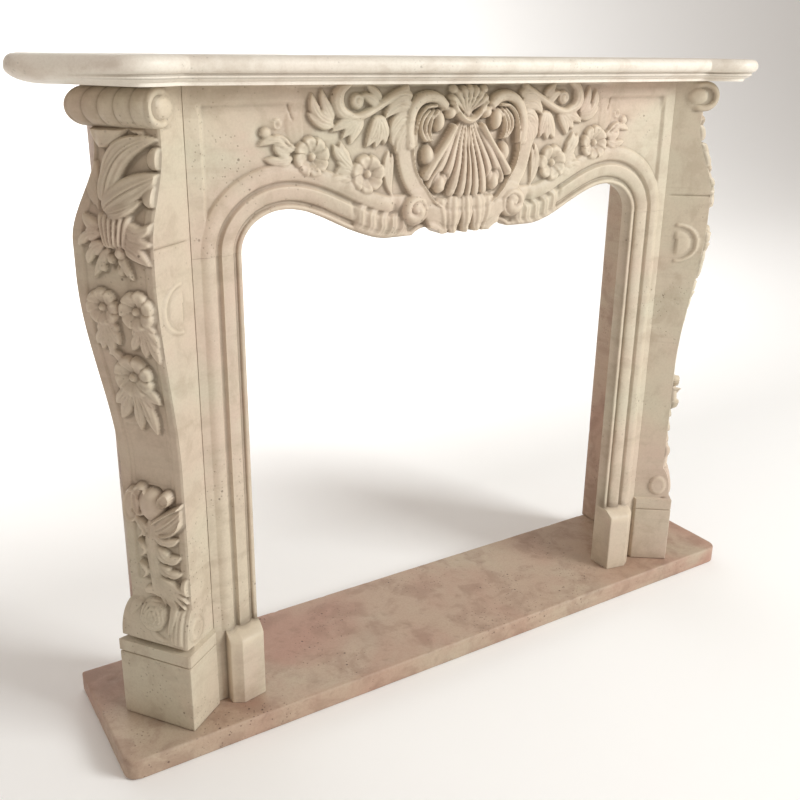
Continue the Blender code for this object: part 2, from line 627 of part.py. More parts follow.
def build_return(name, side, material):
    inner, outer = RETURN_INNER, RETURN_INNER + RETURN_THICKNESS
    front = LEG_BACK + GAP
    outline = [(inner, front), (outer, front), (outer, 0.0), (inner, 0.0)]
    if side < 0:
        outline = mirrored(outline)
    return prism(name, outline, HEARTH_THICKNESS + GAP, SHELF_UNDERSIDE - GAP, material, flip=side < 0)


def build_hearth(material):
    left, right, radius = -HEARTH_LEFT_REACH, HEARTH_RIGHT_REACH, HEARTH_CORNER_RADIUS
    middle, half = (left + right) / 2, (right - left) / 2
    outline = [(left, 0.0)]
    for centre, start in ((left + radius, math.pi), (right - radius, 1.5 * math.pi)):
        for i in range(7):
            angle = start + math.pi / 2 * i / 6
            y = radius - HEARTH_DEPTH + radius * math.sin(angle)
            outline.append((centre + radius * math.cos(angle), y))
    outline.append((right, 0.0))
    rings = []
    for z, inset in ((0.0, 0.0), (HEARTH_THICKNESS - HEARTH_EDGE_RADIUS, 0.0),
                     (HEARTH_THICKNESS - 0.3 * HEARTH_EDGE_RADIUS, 0.3 * HEARTH_EDGE_RADIUS),
                     (HEARTH_THICKNESS, HEARTH_EDGE_RADIUS)):
        across, deep = 1.0 - inset / half, 1.0 - inset / HEARTH_DEPTH
        rings.append([(middle + (x - middle) * across, y * deep, z) for x, y in outline])
    return solid_from_rings("hearth_slab", rings, material)


# Shelf
def rounded_corner(before, corner, after, radius, steps=8):
    """Points that round one corner of an outline, starting the radius before it."""
    points = []
    ends = []
    for x, y in (before, after):
        length = math.hypot(x - corner[0], y - corner[1])
        share = radius / length
        ends.append((corner[0] + (x - corner[0]) * share, corner[1] + (y - corner[1]) * share))
    (ax, ay), (bx, by) = ends
    for i in range(steps + 1):
        t = i / steps
        points.append(((1 - t) ** 2 * ax + 2 * t * (1 - t) * corner[0] + t * t * bx,
                       (1 - t) ** 2 * ay + 2 * t * (1 - t) * corner[1] + t * t * by))
    return points


def shelf_half_outline(steps=10):
    """Front outline of the right half, from the middle to the wall, on the nosing."""
    points = []
    for i in range(steps):
        share = 0.5 + 0.5 * math.cos(math.pi * i / steps)
        swell = (SHELF_BOW_DEPTH - SHELF_RUN_DEPTH) * share
        points.append((SHELF_RUN_X * i / steps, -(SHELF_RUN_DEPTH + swell)))
    for i in range(steps // 2 + 1):
        t = 2 * i / steps
        x = SHELF_RUN_X + (SHELF_VALLEY_X - SHELF_RUN_X) * t
        points.append((x, -(SHELF_RUN_DEPTH + (SHELF_VALLEY_DEPTH - SHELF_RUN_DEPTH) * t * t)))
    for i in range(1, steps // 2 + 1):
        t = 2 * i / steps
        x = SHELF_VALLEY_X + (SHELF_EAR_START - SHELF_VALLEY_X) * t
        swell = (SHELF_EAR_DEPTH - SHELF_VALLEY_DEPTH) * math.sin(math.pi / 2 * t)
        points.append((x, -(SHELF_VALLEY_DEPTH + swell)))
    ear, tip = (SHELF_EAR_X, -SHELF_EAR_DEPTH), (SHELF_TIP_HALF_WIDTH, -SHELF_TIP_DEPTH)
    back = (SHELF_BACK_HALF_WIDTH, 0.0)
    points += rounded_corner((SHELF_EAR_START, -SHELF_EAR_DEPTH), ear, tip, SHELF_CORNER_ROUNDING)
    points += rounded_corner(ear, tip, back, SHELF_CORNER_ROUNDING)
    start = points[-1]
    for i in range(1, steps // 2):
        t = 2 * i / steps
        points.append((start[0] + (back[0] - start[0]) * t, start[1] * (1 - t)))
    return points + [back]


def end_share(x):
    """0 along the front, 1 round the ends, where the moulding turns into one soft roll."""
    return float(smooth_step(abs(x), SHELF_EAR_X - SHELF_CORNER_ROUNDING, SHELF_TIP_HALF_WIDTH - 0.030))


def end_inset(z):
    """How far the soft end is set back from its widest line at each height."""
    widest = SHELF_UNDERSIDE + SHELF_END_MIDDLE
    if z < widest:
        fall, rise = SHELF_END_SET_BACK, (widest - z) / SHELF_END_MIDDLE
    else:
        fall, rise = SHELF_END_EDGE, (z - widest) / (SHELF_THICKNESS - SHELF_END_MIDDLE)
    return fall * (1 - math.sqrt(max(0.0, 1 - rise ** 2)))


def inset_outline(points, z, inset):
    """Move an open outline inwards, keeping its ends on the wall line."""
    moved = []
    last = len(points) - 1
    for i, (x, y) in enumerate(points):
        ax, ay = points[max(i - 1, 0)]
        bx, by = points[min(i + 1, last)]
        length = math.hypot(bx - ax, by - ay)
        nx, ny = -(by - ay) / length, (bx - ax) / length
        share = end_share(x)
        inner_x, inner_y = math.copysign(SHELF_EAR_START, x) - x, -SHELF_TIP_DEPTH / 2 - y
        reach = math.hypot(inner_x, inner_y)
        nx, ny = (1 - share) * nx + share * inner_x / reach, (1 - share) * ny + share * inner_y / reach
        step = (1 - share) * inset + share * end_inset(z)
        length = math.hypot(nx, ny)
        moved.append((x + step * nx / length, min(y + step * ny / length, 0.0)))
    moved[0] = (moved[0][0], 0.0)
    moved[-1] = (moved[-1][0], 0.0)
    return moved


def build_shelf(material):
    half = shelf_half_outline()
    whole = [(-x, y) for x, y in half[:0:-1]] + half
    radius = NOSING_HEIGHT / 2
    top = SHELF_UNDERSIDE + SHELF_THICKNESS
    fillet_height = SHELF_THICKNESS - NOSING_HEIGHT - STEP_HEIGHT - BAND_HEIGHT
    fillet_set_back = STEP_SET_BACK + BAND_SET_BACK
    z = SHELF_UNDERSIDE
    levels = [(z, fillet_set_back + 0.003), (z + 0.4 * fillet_height, fillet_set_back + 0.003)]
    z += fillet_height
    levels += [(z, fillet_set_back), (z + BAND_HEIGHT, STEP_SET_BACK)]
    z += BAND_HEIGHT
    levels += [(z + 0.0005, STEP_SET_BACK + 0.002), (z + STEP_HEIGHT, STEP_SET_BACK + 0.002)]
    z += STEP_HEIGHT
    for i in range(7):
        angle = -math.pi / 2 + math.pi * i / 6
        levels.append((top - radius + radius * math.sin(angle), radius - radius * math.cos(angle)))
    rings = [[(x, y, h) for x, y in inset_outline(whole, h, inset)] for h, inset in levels]
    return solid_from_rings("mantel_shelf", rings, material)


def main():
    for thing in list(bpy.data.objects):
        bpy.data.objects.remove(thing, do_unlink=True)
    cream = stone("cream_limestone", (0.62, 0.56, 0.44), 0.55)
    pale = stone("pale_limestone", (0.72, 0.67, 0.56), 0.50)
    rosy = stone("rosy_limestone", (0.50, 0.40, 0.32), 0.55)
    build_hearth(rosy)
    for side, word in ((-1, "left"), (1, "right")):
        build_leg_plinth(word + "_leg_plinth", side, cream)
        build_leg(word + "_leg", side, cream)
        build_jamb(word + "_jamb", side, cream)
        build_return(word + "_return", side, rosy)
    build_frieze(cream)
    build_shelf(pale)


main()
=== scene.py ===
"""Looks of the carved stone mantel: the full carving, worn stones and their finish.

Metres, Z up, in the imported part's own frame. X runs along the wall, and the carved front faces -Y.
"""
import math

import bmesh
import bpy
import numpy as np
from mathutils import Matrix, Vector


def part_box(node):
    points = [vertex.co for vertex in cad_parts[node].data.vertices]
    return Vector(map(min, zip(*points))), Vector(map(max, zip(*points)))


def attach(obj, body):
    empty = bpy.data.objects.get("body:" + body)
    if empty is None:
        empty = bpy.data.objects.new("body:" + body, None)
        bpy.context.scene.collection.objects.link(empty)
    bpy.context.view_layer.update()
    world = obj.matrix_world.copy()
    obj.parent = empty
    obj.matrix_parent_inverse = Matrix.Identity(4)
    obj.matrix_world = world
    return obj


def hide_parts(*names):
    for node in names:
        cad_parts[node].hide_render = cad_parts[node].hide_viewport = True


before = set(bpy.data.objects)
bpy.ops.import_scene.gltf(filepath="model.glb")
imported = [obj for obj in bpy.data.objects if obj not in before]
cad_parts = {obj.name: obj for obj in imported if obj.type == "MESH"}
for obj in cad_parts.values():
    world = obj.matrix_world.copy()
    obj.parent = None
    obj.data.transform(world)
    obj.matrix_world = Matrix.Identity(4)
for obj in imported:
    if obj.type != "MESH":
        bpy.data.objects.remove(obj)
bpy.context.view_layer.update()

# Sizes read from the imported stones
GAP = 0.0003
HEARTH_LOW, HEARTH_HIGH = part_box("hearth_slab")
FRIEZE_LOW, FRIEZE_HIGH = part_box("frieze")
JAMB_LOW, JAMB_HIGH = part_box("right_jamb")
PLINTH_LOW, PLINTH_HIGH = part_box("right_leg_plinth")
RETURN_LOW, RETURN_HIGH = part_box("right_return")
SHELF_LOW, SHELF_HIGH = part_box("mantel_shelf")
WALL = HEARTH_HIGH.y
HEARTH_TOP = HEARTH_HIGH.z
PLINTH_TOP = PLINTH_HIGH.z
SPRING_HEIGHT = JAMB_HIGH.z + GAP
SHELF_UNDERSIDE = SHELF_LOW.z
BOARD_HALF_WIDTH = FRIEZE_HIGH.x
OPENING_HALF_WIDTH = 0.416

# Board, its opening and its moulding
BOARD_FRONT = WALL - 0.210
BOARD_BACK = BOARD_FRONT + 0.032
CORNER_WIDTH = 0.076
CORNER_RISE = 0.062
DROP_END = 0.150
NOTCH_CENTRE = 0.077
NOTCH_HALF_WIDTH = 0.026
NOTCH_RISE = 0.012
BEAD_WIDTH = 0.008
GROOVE_WIDTH = 0.006
OVOLO_WIDTH = 0.022
COVE_WIDTH = 0.011
TORUS_WIDTH = 0.023
MOULDING_WIDTH = BEAD_WIDTH + GROOVE_WIDTH + OVOLO_WIDTH + COVE_WIDTH + TORUS_WIDTH
BEAD_RECESS = 0.009
GROOVE_RECESS = 0.0105
COVE_RECESS = 0.006
TORUS_RISE = 0.003
PANEL_SIDE_MARGIN = 0.022
PANEL_TOP_MARGIN = 0.024
PANEL_SLOPE = 0.009
PANEL_SINK = 0.005
RELIEF_SHARE = 0.74

# Jamb foot
JAMB_FOOT_TOP = 0.179
FOOT_RIDGE = 0.044
FOOT_OUTER_MARGIN = 0.020
FOOT_INNER_PROJECTION = 0.019
FOOT_RIDGE_PROJECTION = 0.028
FOOT_OUTER_PROJECTION = 0.017
FOOT_SLOPE_HEIGHT = 0.014

# Legs
LEG_CORNER = (0.564, PLINTH_LOW.y)
LEG_TURN = math.radians(54.0)
ALONG = (math.cos(LEG_TURN), math.sin(LEG_TURN))
OUTWARD = (math.sin(LEG_TURN), -math.cos(LEG_TURN))
LEG_BACK = PLINTH_HIGH.y
LEG_SIDE_INSET = 0.008
CAP_TOP = PLINTH_TOP + 0.026
WAIST_SET_BACK = 0.024
WAIST_TOP = 0.500
BELLY_BOTTOM = 0.820
BELLY_TOP = 0.870
BELLY_PROJECTION = 0.008
NECK_HEIGHT = 1.005
NECK_SET_BACK = 0.027
ROLL_RADIUS = 0.0285
ROLL_PROJECTION = 0.003
ROLL_CENTRE = SHELF_UNDERSIDE - ROLL_RADIUS - 0.001
ROLL_FLUTES = 5
CUSHION_MIDDLE = 0.198
CUSHION_REACH = 0.067
CUSHION_SEAT = 0.030
CUSHION_RISE = 0.024
CUSHION_JOINT = 0.004

# Shelf, measured from the wall on its rounded nosing
SHELF_BACK_HALF_WIDTH = 0.690
SHELF_TIP_X = 0.735
SHELF_TIP_DEPTH = 0.199
SHELF_EAR_START = 0.580
SHELF_EAR_X = 0.603
SHELF_CORNER_ROUNDING = 0.022
SHELF_END_SET_BACK = 0.070
SHELF_END_EDGE = 0.016
SHELF_END_MIDDLE = 0.023
SHELF_VALLEY_X = 0.511
SHELF_VALLEY_DEPTH = 0.282
SHELF_RUN_X = 0.330
SHELF_RUN_DEPTH = 0.289
SHELF_BOW_DEPTH = 0.304
NOSING_HEIGHT = 0.024
STEP_HEIGHT = 0.003
BAND_HEIGHT = 0.007
STEP_SET_BACK = 0.010
BAND_SET_BACK = 0.007

# Marks of the tools and of wear
SHARP_ANGLE = math.radians(50)
RUBBING = 0.55
FRIEZE_MARKS = 0.00045
LEG_MARKS = 0.00035
PLAIN_MARKS = 0.0003
FLANK_MARKS = 0.0002
ARRIS_WEAR = 0.0018
ARRIS_REACH = 0.004
FOOT_ARRIS = 0.003
PLINTH_ARRIS = 0.0016
RETURN_ARRIS = 0.0015
HEARTH_ARRIS = 0.0045
HEARTH_CORNER_RADIUS = 0.024
JOINT_DEPTH = 0.0025
JOINT_WIDTH = 0.0012

# Depths that the carving stands on
FRAME_SINK = 0.003
FLAP_SINK = 0.004
WRAP_SINK = 0.008
WRAP_HEIGHT = 0.014
LEG_PANEL_SINK = 0.003
LEG_RELIEF_SHARE = 0.84
FLUTE_DEPTH = 0.0045

# Fineness of the carved meshes
CORNER_COLUMNS = 112
STRAIGHT_COLUMNS = 196
FRIEZE_STEPS = 150
LEG_LEVELS = 560
LEG_SIDE_STEPS = 26
LEG_FACE_STEPS = 92

# Camera and studio
LENS_LENGTH = 42.28
LENS_SHIFT = (0.0037, -0.0325)
CAMERA_PLACE = (-0.9717, -1.3958, 1.140)
CAMERA_RIGHT = (0.85072, -0.52549, 0.01185)
CAMERA_UP = (0.16199, 0.28357, 0.94517)
CAMERA_BACK = (-0.50004, -0.80215, 0.32636)
FLOOR_COLOUR = (0.94, 0.935, 0.925)
AIR_COLOUR = (1.0, 0.92, 0.85)
AIR_STRENGTH = 0.46



# Shapes over a face, worked on whole arrays of points
def smooth_step(value, start, end):
    t = np.clip((value - start) / (end - start), 0.0, 1.0)
    return t * t * (3.0 - 2.0 * t)


def unit(value):
    """The value kept between 0 and 1."""
    return np.clip(value, 0.0, 1.0)


def dome(reach, power=2):
    """1 in the middle, falling to 0 at a reach of 1, in a quarter circle or a squarer curve."""
    return np.sqrt(unit(1.0 - np.abs(reach) ** power))


def fading(value, middle, width):
    """1 at the middle value, fading smoothly to both sides."""
    return np.exp(-((value - middle) / width) ** 2)


def ribbed(place):
    """A row of round ribs, one for each whole number."""
    return np.sqrt(np.abs(np.sin(math.pi * place)))


def bow(start, middle, end, steps=22):
    """Points of a smooth arc that passes through the middle point."""
    (ax, az), (mx, mz), (bx, bz) = start, middle, end
    cx, cz = 2 * mx - (ax + bx) / 2, 2 * mz - (az + bz) / 2
    t = np.linspace(0.0, 1.0, steps + 1)
    x = (1 - t) ** 2 * ax + 2 * t * (1 - t) * cx + t ** 2 * bx
    z = (1 - t) ** 2 * az + 2 * t * (1 - t) * cz + t ** 2 * bz
    return np.stack([x, z], axis=1)


def curve(points, steps=10):
    """Points of a curve through the given ones, a single arc where they are three."""
    if len(points) == 3:
        return bow(*points)
    points = np.array(points, float)
    padded = np.vstack([2 * points[0] - points[1], points, 2 * points[-1] - points[-2]])
    t = np.linspace(0.0, 1.0, steps, endpoint=False)[:, None]
    parts = []
    for a, b, c, d in zip(padded, padded[1:], padded[2:], padded[3:]):
        parts.append(0.5 * (2 * b + (c - a) * t + (2 * a - 5 * b + 4 * c - d) * t ** 2
                            + (3 * b - a - 3 * c + d) * t ** 3))
    return np.vstack(parts + [points[-1:]])


def along_path(x, z, path):
    """For each point: its share of the way along the path, and its distance from it, positive to the left."""
    runs = np.diff(path, axis=0)
    lengths = np.maximum(np.hypot(runs[:, 0], runs[:, 1]), 1e-9)
    starts = np.concatenate([[0.0], np.cumsum(lengths)])
    best = np.full(x.shape, 9.0)
    share = np.zeros(x.shape)
    side = np.zeros(x.shape)
    for i, (dx, dz) in enumerate(runs):
        px, pz = x - path[i, 0], z - path[i, 1]
        t = np.clip((px * dx + pz * dz) / lengths[i] ** 2, 0.0, 1.0)
        distance = np.hypot(px - t * dx, pz - t * dz)
        closer = distance < best
        best = np.where(closer, distance, best)
        share = np.where(closer, (starts[i] + t * lengths[i]) / starts[-1], share)
        side = np.where(closer, np.copysign(distance, dx * pz - dz * px), side)
    return share, side


class Carving:
    """Heights over a face. Each form stands on the seat, in its own window, and keeps what is higher."""

    def __init__(self, across, up, ground):
        self.across = across
        self.up = up
        self.height = np.array(ground, float)
        self.seat = 0.0

    def window(self, points, margin):
        points = np.atleast_2d(points)
        low, high = points.min(axis=0) - margin, points.max(axis=0) + margin
        inside = (self.across > low[0]) & (self.across < high[0]) & (self.up > low[1]) & (self.up < high[1])
        return np.nonzero(inside)

    def around(self, centre, radius_x, radius_z, margin=0.0):
        """The window round an oval, with the points' places from its centre and their share of its reach."""
        at = self.window(centre, max(radius_x, radius_z) + margin)
        px, pz = self.across[at] - centre[0], self.up[at] - centre[1]
        return at, px, pz, np.hypot(px / radius_x, pz / radius_z)

    def beside(self, points, margin):
        """The window round a curve, with the points' share of the way along it and distance from it."""
        path = curve(points)
        at = self.window(path, margin)
        share, side = along_path(self.across[at], self.up[at], path)
        return at, share, side

    def raise_to(self, at, inside, form):
        self.height[at] = np.where(inside, np.maximum(self.height[at], self.seat + form), self.height[at])

    def boss(self, centre, radius_x, radius_z, height, rim=0.0):
        """A smooth oval boss, with a groove round it where rim is its width."""
        at, _, _, reach = self.around(centre, radius_x, radius_z, rim)
        if rim:
            half_rim = rim / min(radius_x, radius_z) / 2
            self.height[at] -= 0.2 * height * fading(reach, 1.0 + half_rim, half_rim)
        self.raise_to(at, reach < 1.0, height * dome(reach))

    def pit(self, centre, radius_x, radius_z, depth):
        at, _, _, reach = self.around(centre, radius_x, radius_z, max(radius_x, radius_z))
        self.height[at] -= depth * fading(reach, 0.0, 1.0)

    def leaf(self, foot, middle, tip, width, height, lobes=0, blunt=0.45, veins=True):
        """A leaf from foot to tip, its lobes leaning towards the tip, with a grooved midrib."""
        at, share, side = self.beside((foot, middle, tip), 1.3 * width)
        taper = 0.75
        peak = blunt ** blunt * taper ** taper / (blunt + taper) ** (blunt + taper)
        body = share ** blunt * (1.0 - share) ** taper / peak
        reach = np.abs(side) / (width * body + 1e-6)
        turn = lobes * share - 0.6 * np.clip(reach, 0.0, 1.2) + 0.35
        lobe = ribbed(turn) if lobes else np.ones(share.shape)
        edge = 0.72 + 0.28 * lobe
        swell = 0.62 + 0.38 * np.sin(math.pi * unit(share) ** 0.8)
        fold = 1.0 - 0.30 * (1.0 - lobe) * smooth_step(reach, 0.15, 0.5)
        form = height * dome(reach / edge, 3) * swell * fold * (1.0 - 0.16 * fading(reach, 0.42, 0.22))
        if veins:
            form = form * (1.0 - 0.24 * fading(side, 0.0, 0.0013))
        self.raise_to(at, (reach < edge) & (share > 0.0) & (share < 1.0), form)

    def ribbon(self, points, width, height, flutes=0, start=1.0, end=1.0, flat=2.0, belly=0.0):
        """A rounded band along a curve, tapering from its start share of the width to its end share."""
        at, share, side = self.beside(points, (1.2 + belly) * width)
        taper = start + (end - start) * share + belly * np.sin(math.pi * share)
        reach = np.abs(side) / (width * taper)
        form = height * unit(1.0 - reach ** flat) ** (1.0 / flat)
        if flutes:
            rib = np.sqrt(np.abs(np.cos(math.pi * flutes * side / (width * taper) / 2)))
            form = form * (0.84 + 0.16 * rib)
        self.raise_to(at, reach < 1.0, form * (0.65 + 0.35 * unit(taper)))

    def groove(self, points, width, depth):
        """An incised line that fades towards its ends."""
        at, share, side = self.beside(points, 3.0 * width)
        self.height[at] -= depth * fading(side, 0.0, width) * unit(6.0 * share * (1.0 - share))

    def frond(self, foot, tips, width, height, bend=0.0, lobes=0):
        """Leaves that spread from one foot, the outer ones first and each over the last."""
        for tip in tips:
            middle = ((foot[0] + tip[0]) / 2 + bend * (tip[1] - foot[1]),
                      (foot[1] + tip[1]) / 2 - bend * (tip[0] - foot[0]))
            self.leaf(foot, middle, tip, width, height, lobes)

    def flower(self, centre, radius, petals, height, turn=0.0, swirl=0.35):
        """Cupped petals, each tucked under the next, round a domed button."""
        at, px, pz, reach = self.around(centre, radius, radius)
        place = petals * (np.arctan2(pz, px) + turn + swirl * reach) / (2 * math.pi)
        local = 2.0 * (place - np.floor(place)) - 1.0
        out = reach / (0.86 + 0.14 * dome(local, 2.6))
        cup = 0.44 + 0.56 * smooth_step(out, 0.20, 0.95)
        tuck = 1.0 - 0.22 * (0.5 + 0.5 * local)
        dish = 1.0 - 0.10 * fading(local, -0.1, 0.45) * smooth_step(out, 0.4, 0.7)
        form = height * dome(out, 9) * cup * tuck * dish * (0.58 + 0.42 * dome(local, 9))
        self.raise_to(at, out < 1.0, form)
        button = 0.22 * radius
        self.pit(centre, 1.45 * button, 1.45 * button, 0.25 * height)
        self.boss(centre, button, button, 0.80 * height)

    def rose(self, centre, radius, height):
        """A full rose: petals wound in a spiral round a tight heart, with a ring of open ones."""
        at, px, pz, reach = self.around(centre, radius, radius)
        angle = np.arctan2(pz, px) / (2 * math.pi)
        wave = 0.06 * np.sin(5 * 2 * math.pi * angle)
        wound = 4.2 * (reach + wave * reach) - angle
        lap = wound - np.floor(wound)
        form = height * (1.0 - 0.40 * reach ** 2) - 0.20 * height * (1.0 - lap) ** 0.7
        form = form - 0.16 * height * fading(lap, 0.03, 0.07)
        self.raise_to(at, reach < 0.93 + 0.07 * ribbed(5 * angle), form * dome(reach, 8))

    def volute(self, centre, radius, height, turns):
        """A coiled scroll end with a domed eye."""
        at, px, pz, reach = self.around(centre, radius, radius)
        wound = turns * (1.0 - reach) + np.arctan2(pz, px) / (2 * math.pi)
        lap = wound - np.floor(wound)
        form = height * dome(reach, 6) * (0.62 + 0.38 * dome(2 * lap - 1.0)) * (0.82 + 0.18 * (1.0 - reach))
        self.raise_to(at, reach < 1.0, form)
        self.boss(centre, 0.30 * radius, 0.30 * radius, height)

    def shell(self, centre, inner, outer, half_angle, ribs, height, opens=-1, spread=0.86):
        """A fan of rounded ribs, its outer ribs the widest, that opens down (-1) or up (1)."""
        px, pz = self.across - centre[0], opens * (self.up - centre[1])
        reach = np.hypot(px, pz)
        angle = np.arctan2(px, pz) / half_angle
        at = np.nonzero((reach < 1.05 * outer) & (np.abs(angle) < 1.0) & (pz > 0.0))
        reach, angle = reach[at], angle[at]
        place = (np.copysign(np.abs(angle) ** spread, angle) + 1.0) * ribs / 2
        rib = ribbed(place)
        end = outer * (0.93 + 0.07 * rib)
        out = unit(reach / end)
        run = 0.40 + 0.60 * smooth_step(reach, inner, 0.72 * outer)
        wall = np.sqrt(unit((1.0 - np.abs(angle)) * 14.0))
        crease = 1.0 - 0.07 * fading(place - np.floor(place), 0.5, 0.09) * smooth_step(out, 0.2, 0.5)
        form = height * run * dome(unit((out - 0.80) / 0.20), 2.4) * (0.46 + 0.54 * rib) * wall * crease
        self.raise_to(at, reach < end, form * (0.78 + 0.22 * np.cos(1.3 * angle)))

    def cup(self, centre, radius_x, radius_z, height, lean=0.0):
        """An oval petal with a thin raised rim round a hollow, leaning by an angle."""
        at, px, pz, _ = self.around(centre, radius_x, radius_z)
        turned_x = (px * math.cos(lean) + pz * math.sin(lean)) / radius_x
        turned_z = (pz * math.cos(lean) - px * math.sin(lean)) / radius_z
        reach = np.hypot(turned_x, turned_z)
        self.raise_to(at, reach < 1.0, height * (0.60 + 0.40 * fading(reach, 0.86, 0.11)) * dome(reach, 10))

    def pleats(self, low, high, foot, top, count, height):
        """A sheaf of upright ribs, low and high the (left, right) ends of its foot and its top."""
        at = self.window([(min(low[0], high[0]), foot), (max(low[1], high[1]), top)], 0.002)
        x, z = self.across[at], self.up[at]
        rise = unit((z - foot) / (top - foot))
        left, right = low[0] + (high[0] - low[0]) * rise, low[1] + (high[1] - low[1]) * rise
        share = (x - left) / (right - left)
        swell = 0.66 + 0.34 * np.sin(math.pi * unit(share))
        form = height * (0.45 + 0.55 * ribbed(count * share)) * dome(2 * rise - 1.0, 6) * swell
        self.raise_to(at, (share > 0.0) & (share < 1.0) & (z > foot) & (z < top), form)


def blurred(field, reach):
    """The mean of a grid's values over a square of cells."""
    for axis in (0, 1):
        pad = [(reach, reach) if a == axis else (0, 0) for a in (0, 1)]
        total = np.cumsum(np.pad(field, pad, mode="edge"), axis=axis)
        ahead = np.take(total, range(2 * reach, total.shape[axis]), axis=axis)
        behind = np.take(total, range(0, total.shape[axis] - 2 * reach), axis=axis)
        field = (ahead - behind) / (2 * reach)
    return field


def softened(height):
    """Hand-rubbed carving: every form keeps its place, and its edges turn over softly."""
    return (1.0 - RUBBING) * height + RUBBING * blurred(height, 1)


def hollowness(height):
    """1 deep in a crevice, -1 on a proud edge, and 0 on flat stone. The finish reads it to paint shade into
    the crevices and a highlight onto the proud edges.
    """
    fine = (blurred(height, 3) - height) / 0.0022
    broad = (blurred(height, 10) - height) / 0.0075
    return np.clip(0.6 * fine + 0.6 * broad, -1.0, 1.0)


def hand_work(x, z, depth):
    """The slight unevenness that chisels and rasps leave."""
    waves = np.sin(61 * x + 3 * np.sin(37 * z)) + np.sin(83 * z + 2 * np.sin(53 * x))
    waves = waves + 0.6 * np.sin(197 * x + 149 * z + 2 * np.sin(131 * z)) + 0.6 * np.sin(173 * z - 211 * x)
    return depth * waves / 3.2


# Meshes
def placed(name, data):
    """An object at the origin that shows the data."""
    holder = bpy.data.objects.new(name, data)
    bpy.context.scene.collection.objects.link(holder)
    return holder


def dressed(name, mesh):
    """A stone with smooth faces and crisp arrises."""
    mesh.shade_smooth()
    mesh.set_sharp_from_angle(angle=SHARP_ANGLE)
    return placed(name, mesh)


def from_rings(name, rings, flip=False, hollow=None):
    """A closed stone from a stack of equal rings. Where hollow is given it is stored for the finish, which
    paints shade in the crevices and a highlight on the proud edges.
    """
    rings = np.asarray(rings, float)
    levels, count = rings.shape[:2]
    index = np.arange(levels * count).reshape(levels, count)
    after = np.roll(index, -1, axis=1)
    quads = np.stack([index[:-1], after[:-1], after[1:], index[1:]], axis=-1).reshape(-1, 4)
    ends = [index[0][::-1].tolist(), index[-1].tolist()]
    if flip:
        quads, ends = quads[:, ::-1], [end[::-1] for end in ends]
    mesh = bpy.data.meshes.new(name)
    mesh.from_pydata(rings.reshape(-1, 3).tolist(), [], quads.tolist() + ends)
    mesh.update()
    if hollow is not None:
        attribute = mesh.attributes.new("hollow", "FLOAT", "POINT")
        attribute.data.foreach_set("value", np.asarray(hollow, np.float32).ravel())
    return dressed(name, mesh)


# Frieze
def opening_height(x):
    fall = smooth_step(np.abs(x), DROP_END, OPENING_HALF_WIDTH - CORNER_WIDTH)
    notch = unit(1.0 - ((np.abs(x) - NOTCH_CENTRE) / NOTCH_HALF_WIDTH) ** 2)
    return SPRING_HEIGHT + CORNER_RISE * fall + NOTCH_RISE * notch


def arch_columns(corner_steps, straight_steps):
    """Opening points and the board points that face them, from the left spring to the right one."""
    corner_x = OPENING_HALF_WIDTH - CORNER_WIDTH
    side = BOARD_HALF_WIDTH - corner_x
    rise = SHELF_UNDERSIDE - GAP - SPRING_HEIGHT
    side_steps = int(corner_steps * rise / (rise + side))
    half = []
    for i in range(corner_steps):
        angle = math.pi / 2 * i / corner_steps
        inner = (corner_x + CORNER_WIDTH * math.cos(angle),
                 SPRING_HEIGHT + CORNER_RISE * math.sin(angle))
        up_side = min(i / side_steps, 1.0)
        over = max(0.0, (i - side_steps) / (corner_steps - side_steps))
        half.append((inner, (BOARD_HALF_WIDTH - side * over, SPRING_HEIGHT + rise * up_side)))
    for i in range(straight_steps + 1):
        x = corner_x * (1.0 - i / straight_steps)
        half.append(((x, float(opening_height(x))), (x, SPRING_HEIGHT + rise)))
    left = [((-a, b), (-c, d)) for (a, b), (c, d) in half]
    columns = np.array(left + half[-2::-1])
    return columns[:, 0], columns[:, 1]


def distance_to_opening(x, z):
    edge = arch_columns(24, 90)[0]
    left_foot, right_foot = (-OPENING_HALF_WIDTH, HEARTH_TOP), (OPENING_HALF_WIDTH, HEARTH_TOP)
    edge = np.vstack([[left_foot], edge, [right_foot]])
    return np.abs(along_path(x, z, edge)[1])


def moulding(e):
    """Height of the moulding over the board's face at a distance e from the opening."""
    ovolo_start = BEAD_WIDTH + GROOVE_WIDTH
    cove_start = ovolo_start + OVOLO_WIDTH
    torus_start = cove_start + COVE_WIDTH
    bead = -BEAD_RECESS + 0.4 * BEAD_WIDTH * dome(2 * e / BEAD_WIDTH - 1)
    groove = np.full(e.shape, -GROOVE_RECESS)
    ovolo = -BEAD_RECESS + BEAD_RECESS * dome(1.0 - unit((e - ovolo_start) / OVOLO_WIDTH))
    cove = -COVE_RECESS * np.sin(math.pi * unit((e - cove_start) / COVE_WIDTH))
    torus = TORUS_RISE * np.sin(math.pi * unit((e - torus_start) / TORUS_WIDTH))
    parts = [e < BEAD_WIDTH, e < ovolo_start, e < cove_start, e < torus_start, e < MOULDING_WIDTH]
    return np.select(parts, [bead, groove, ovolo, cove, torus], 0.0)


def frieze_ground(x, z, e):
    """The moulding and the sunk field that the carving stands on."""
    a = np.abs(x)
    side_in = smooth_step(BOARD_HALF_WIDTH - PANEL_SIDE_MARGIN - a, 0.0, PANEL_SLOPE)
    top_in = smooth_step(SHELF_UNDERSIDE - PANEL_TOP_MARGIN - z, 0.0, PANEL_SLOPE)
    low_in = smooth_step(e - MOULDING_WIDTH, 0.0, 0.004)
    middle = smooth_step(0.345 - a, 0.0, 0.050) * smooth_step(SHELF_UNDERSIDE - 0.002 - z, 0.0, 0.006)
    field = side_in * low_in * np.maximum(top_in, middle)
    return moulding(e) - PANEL_SINK * field


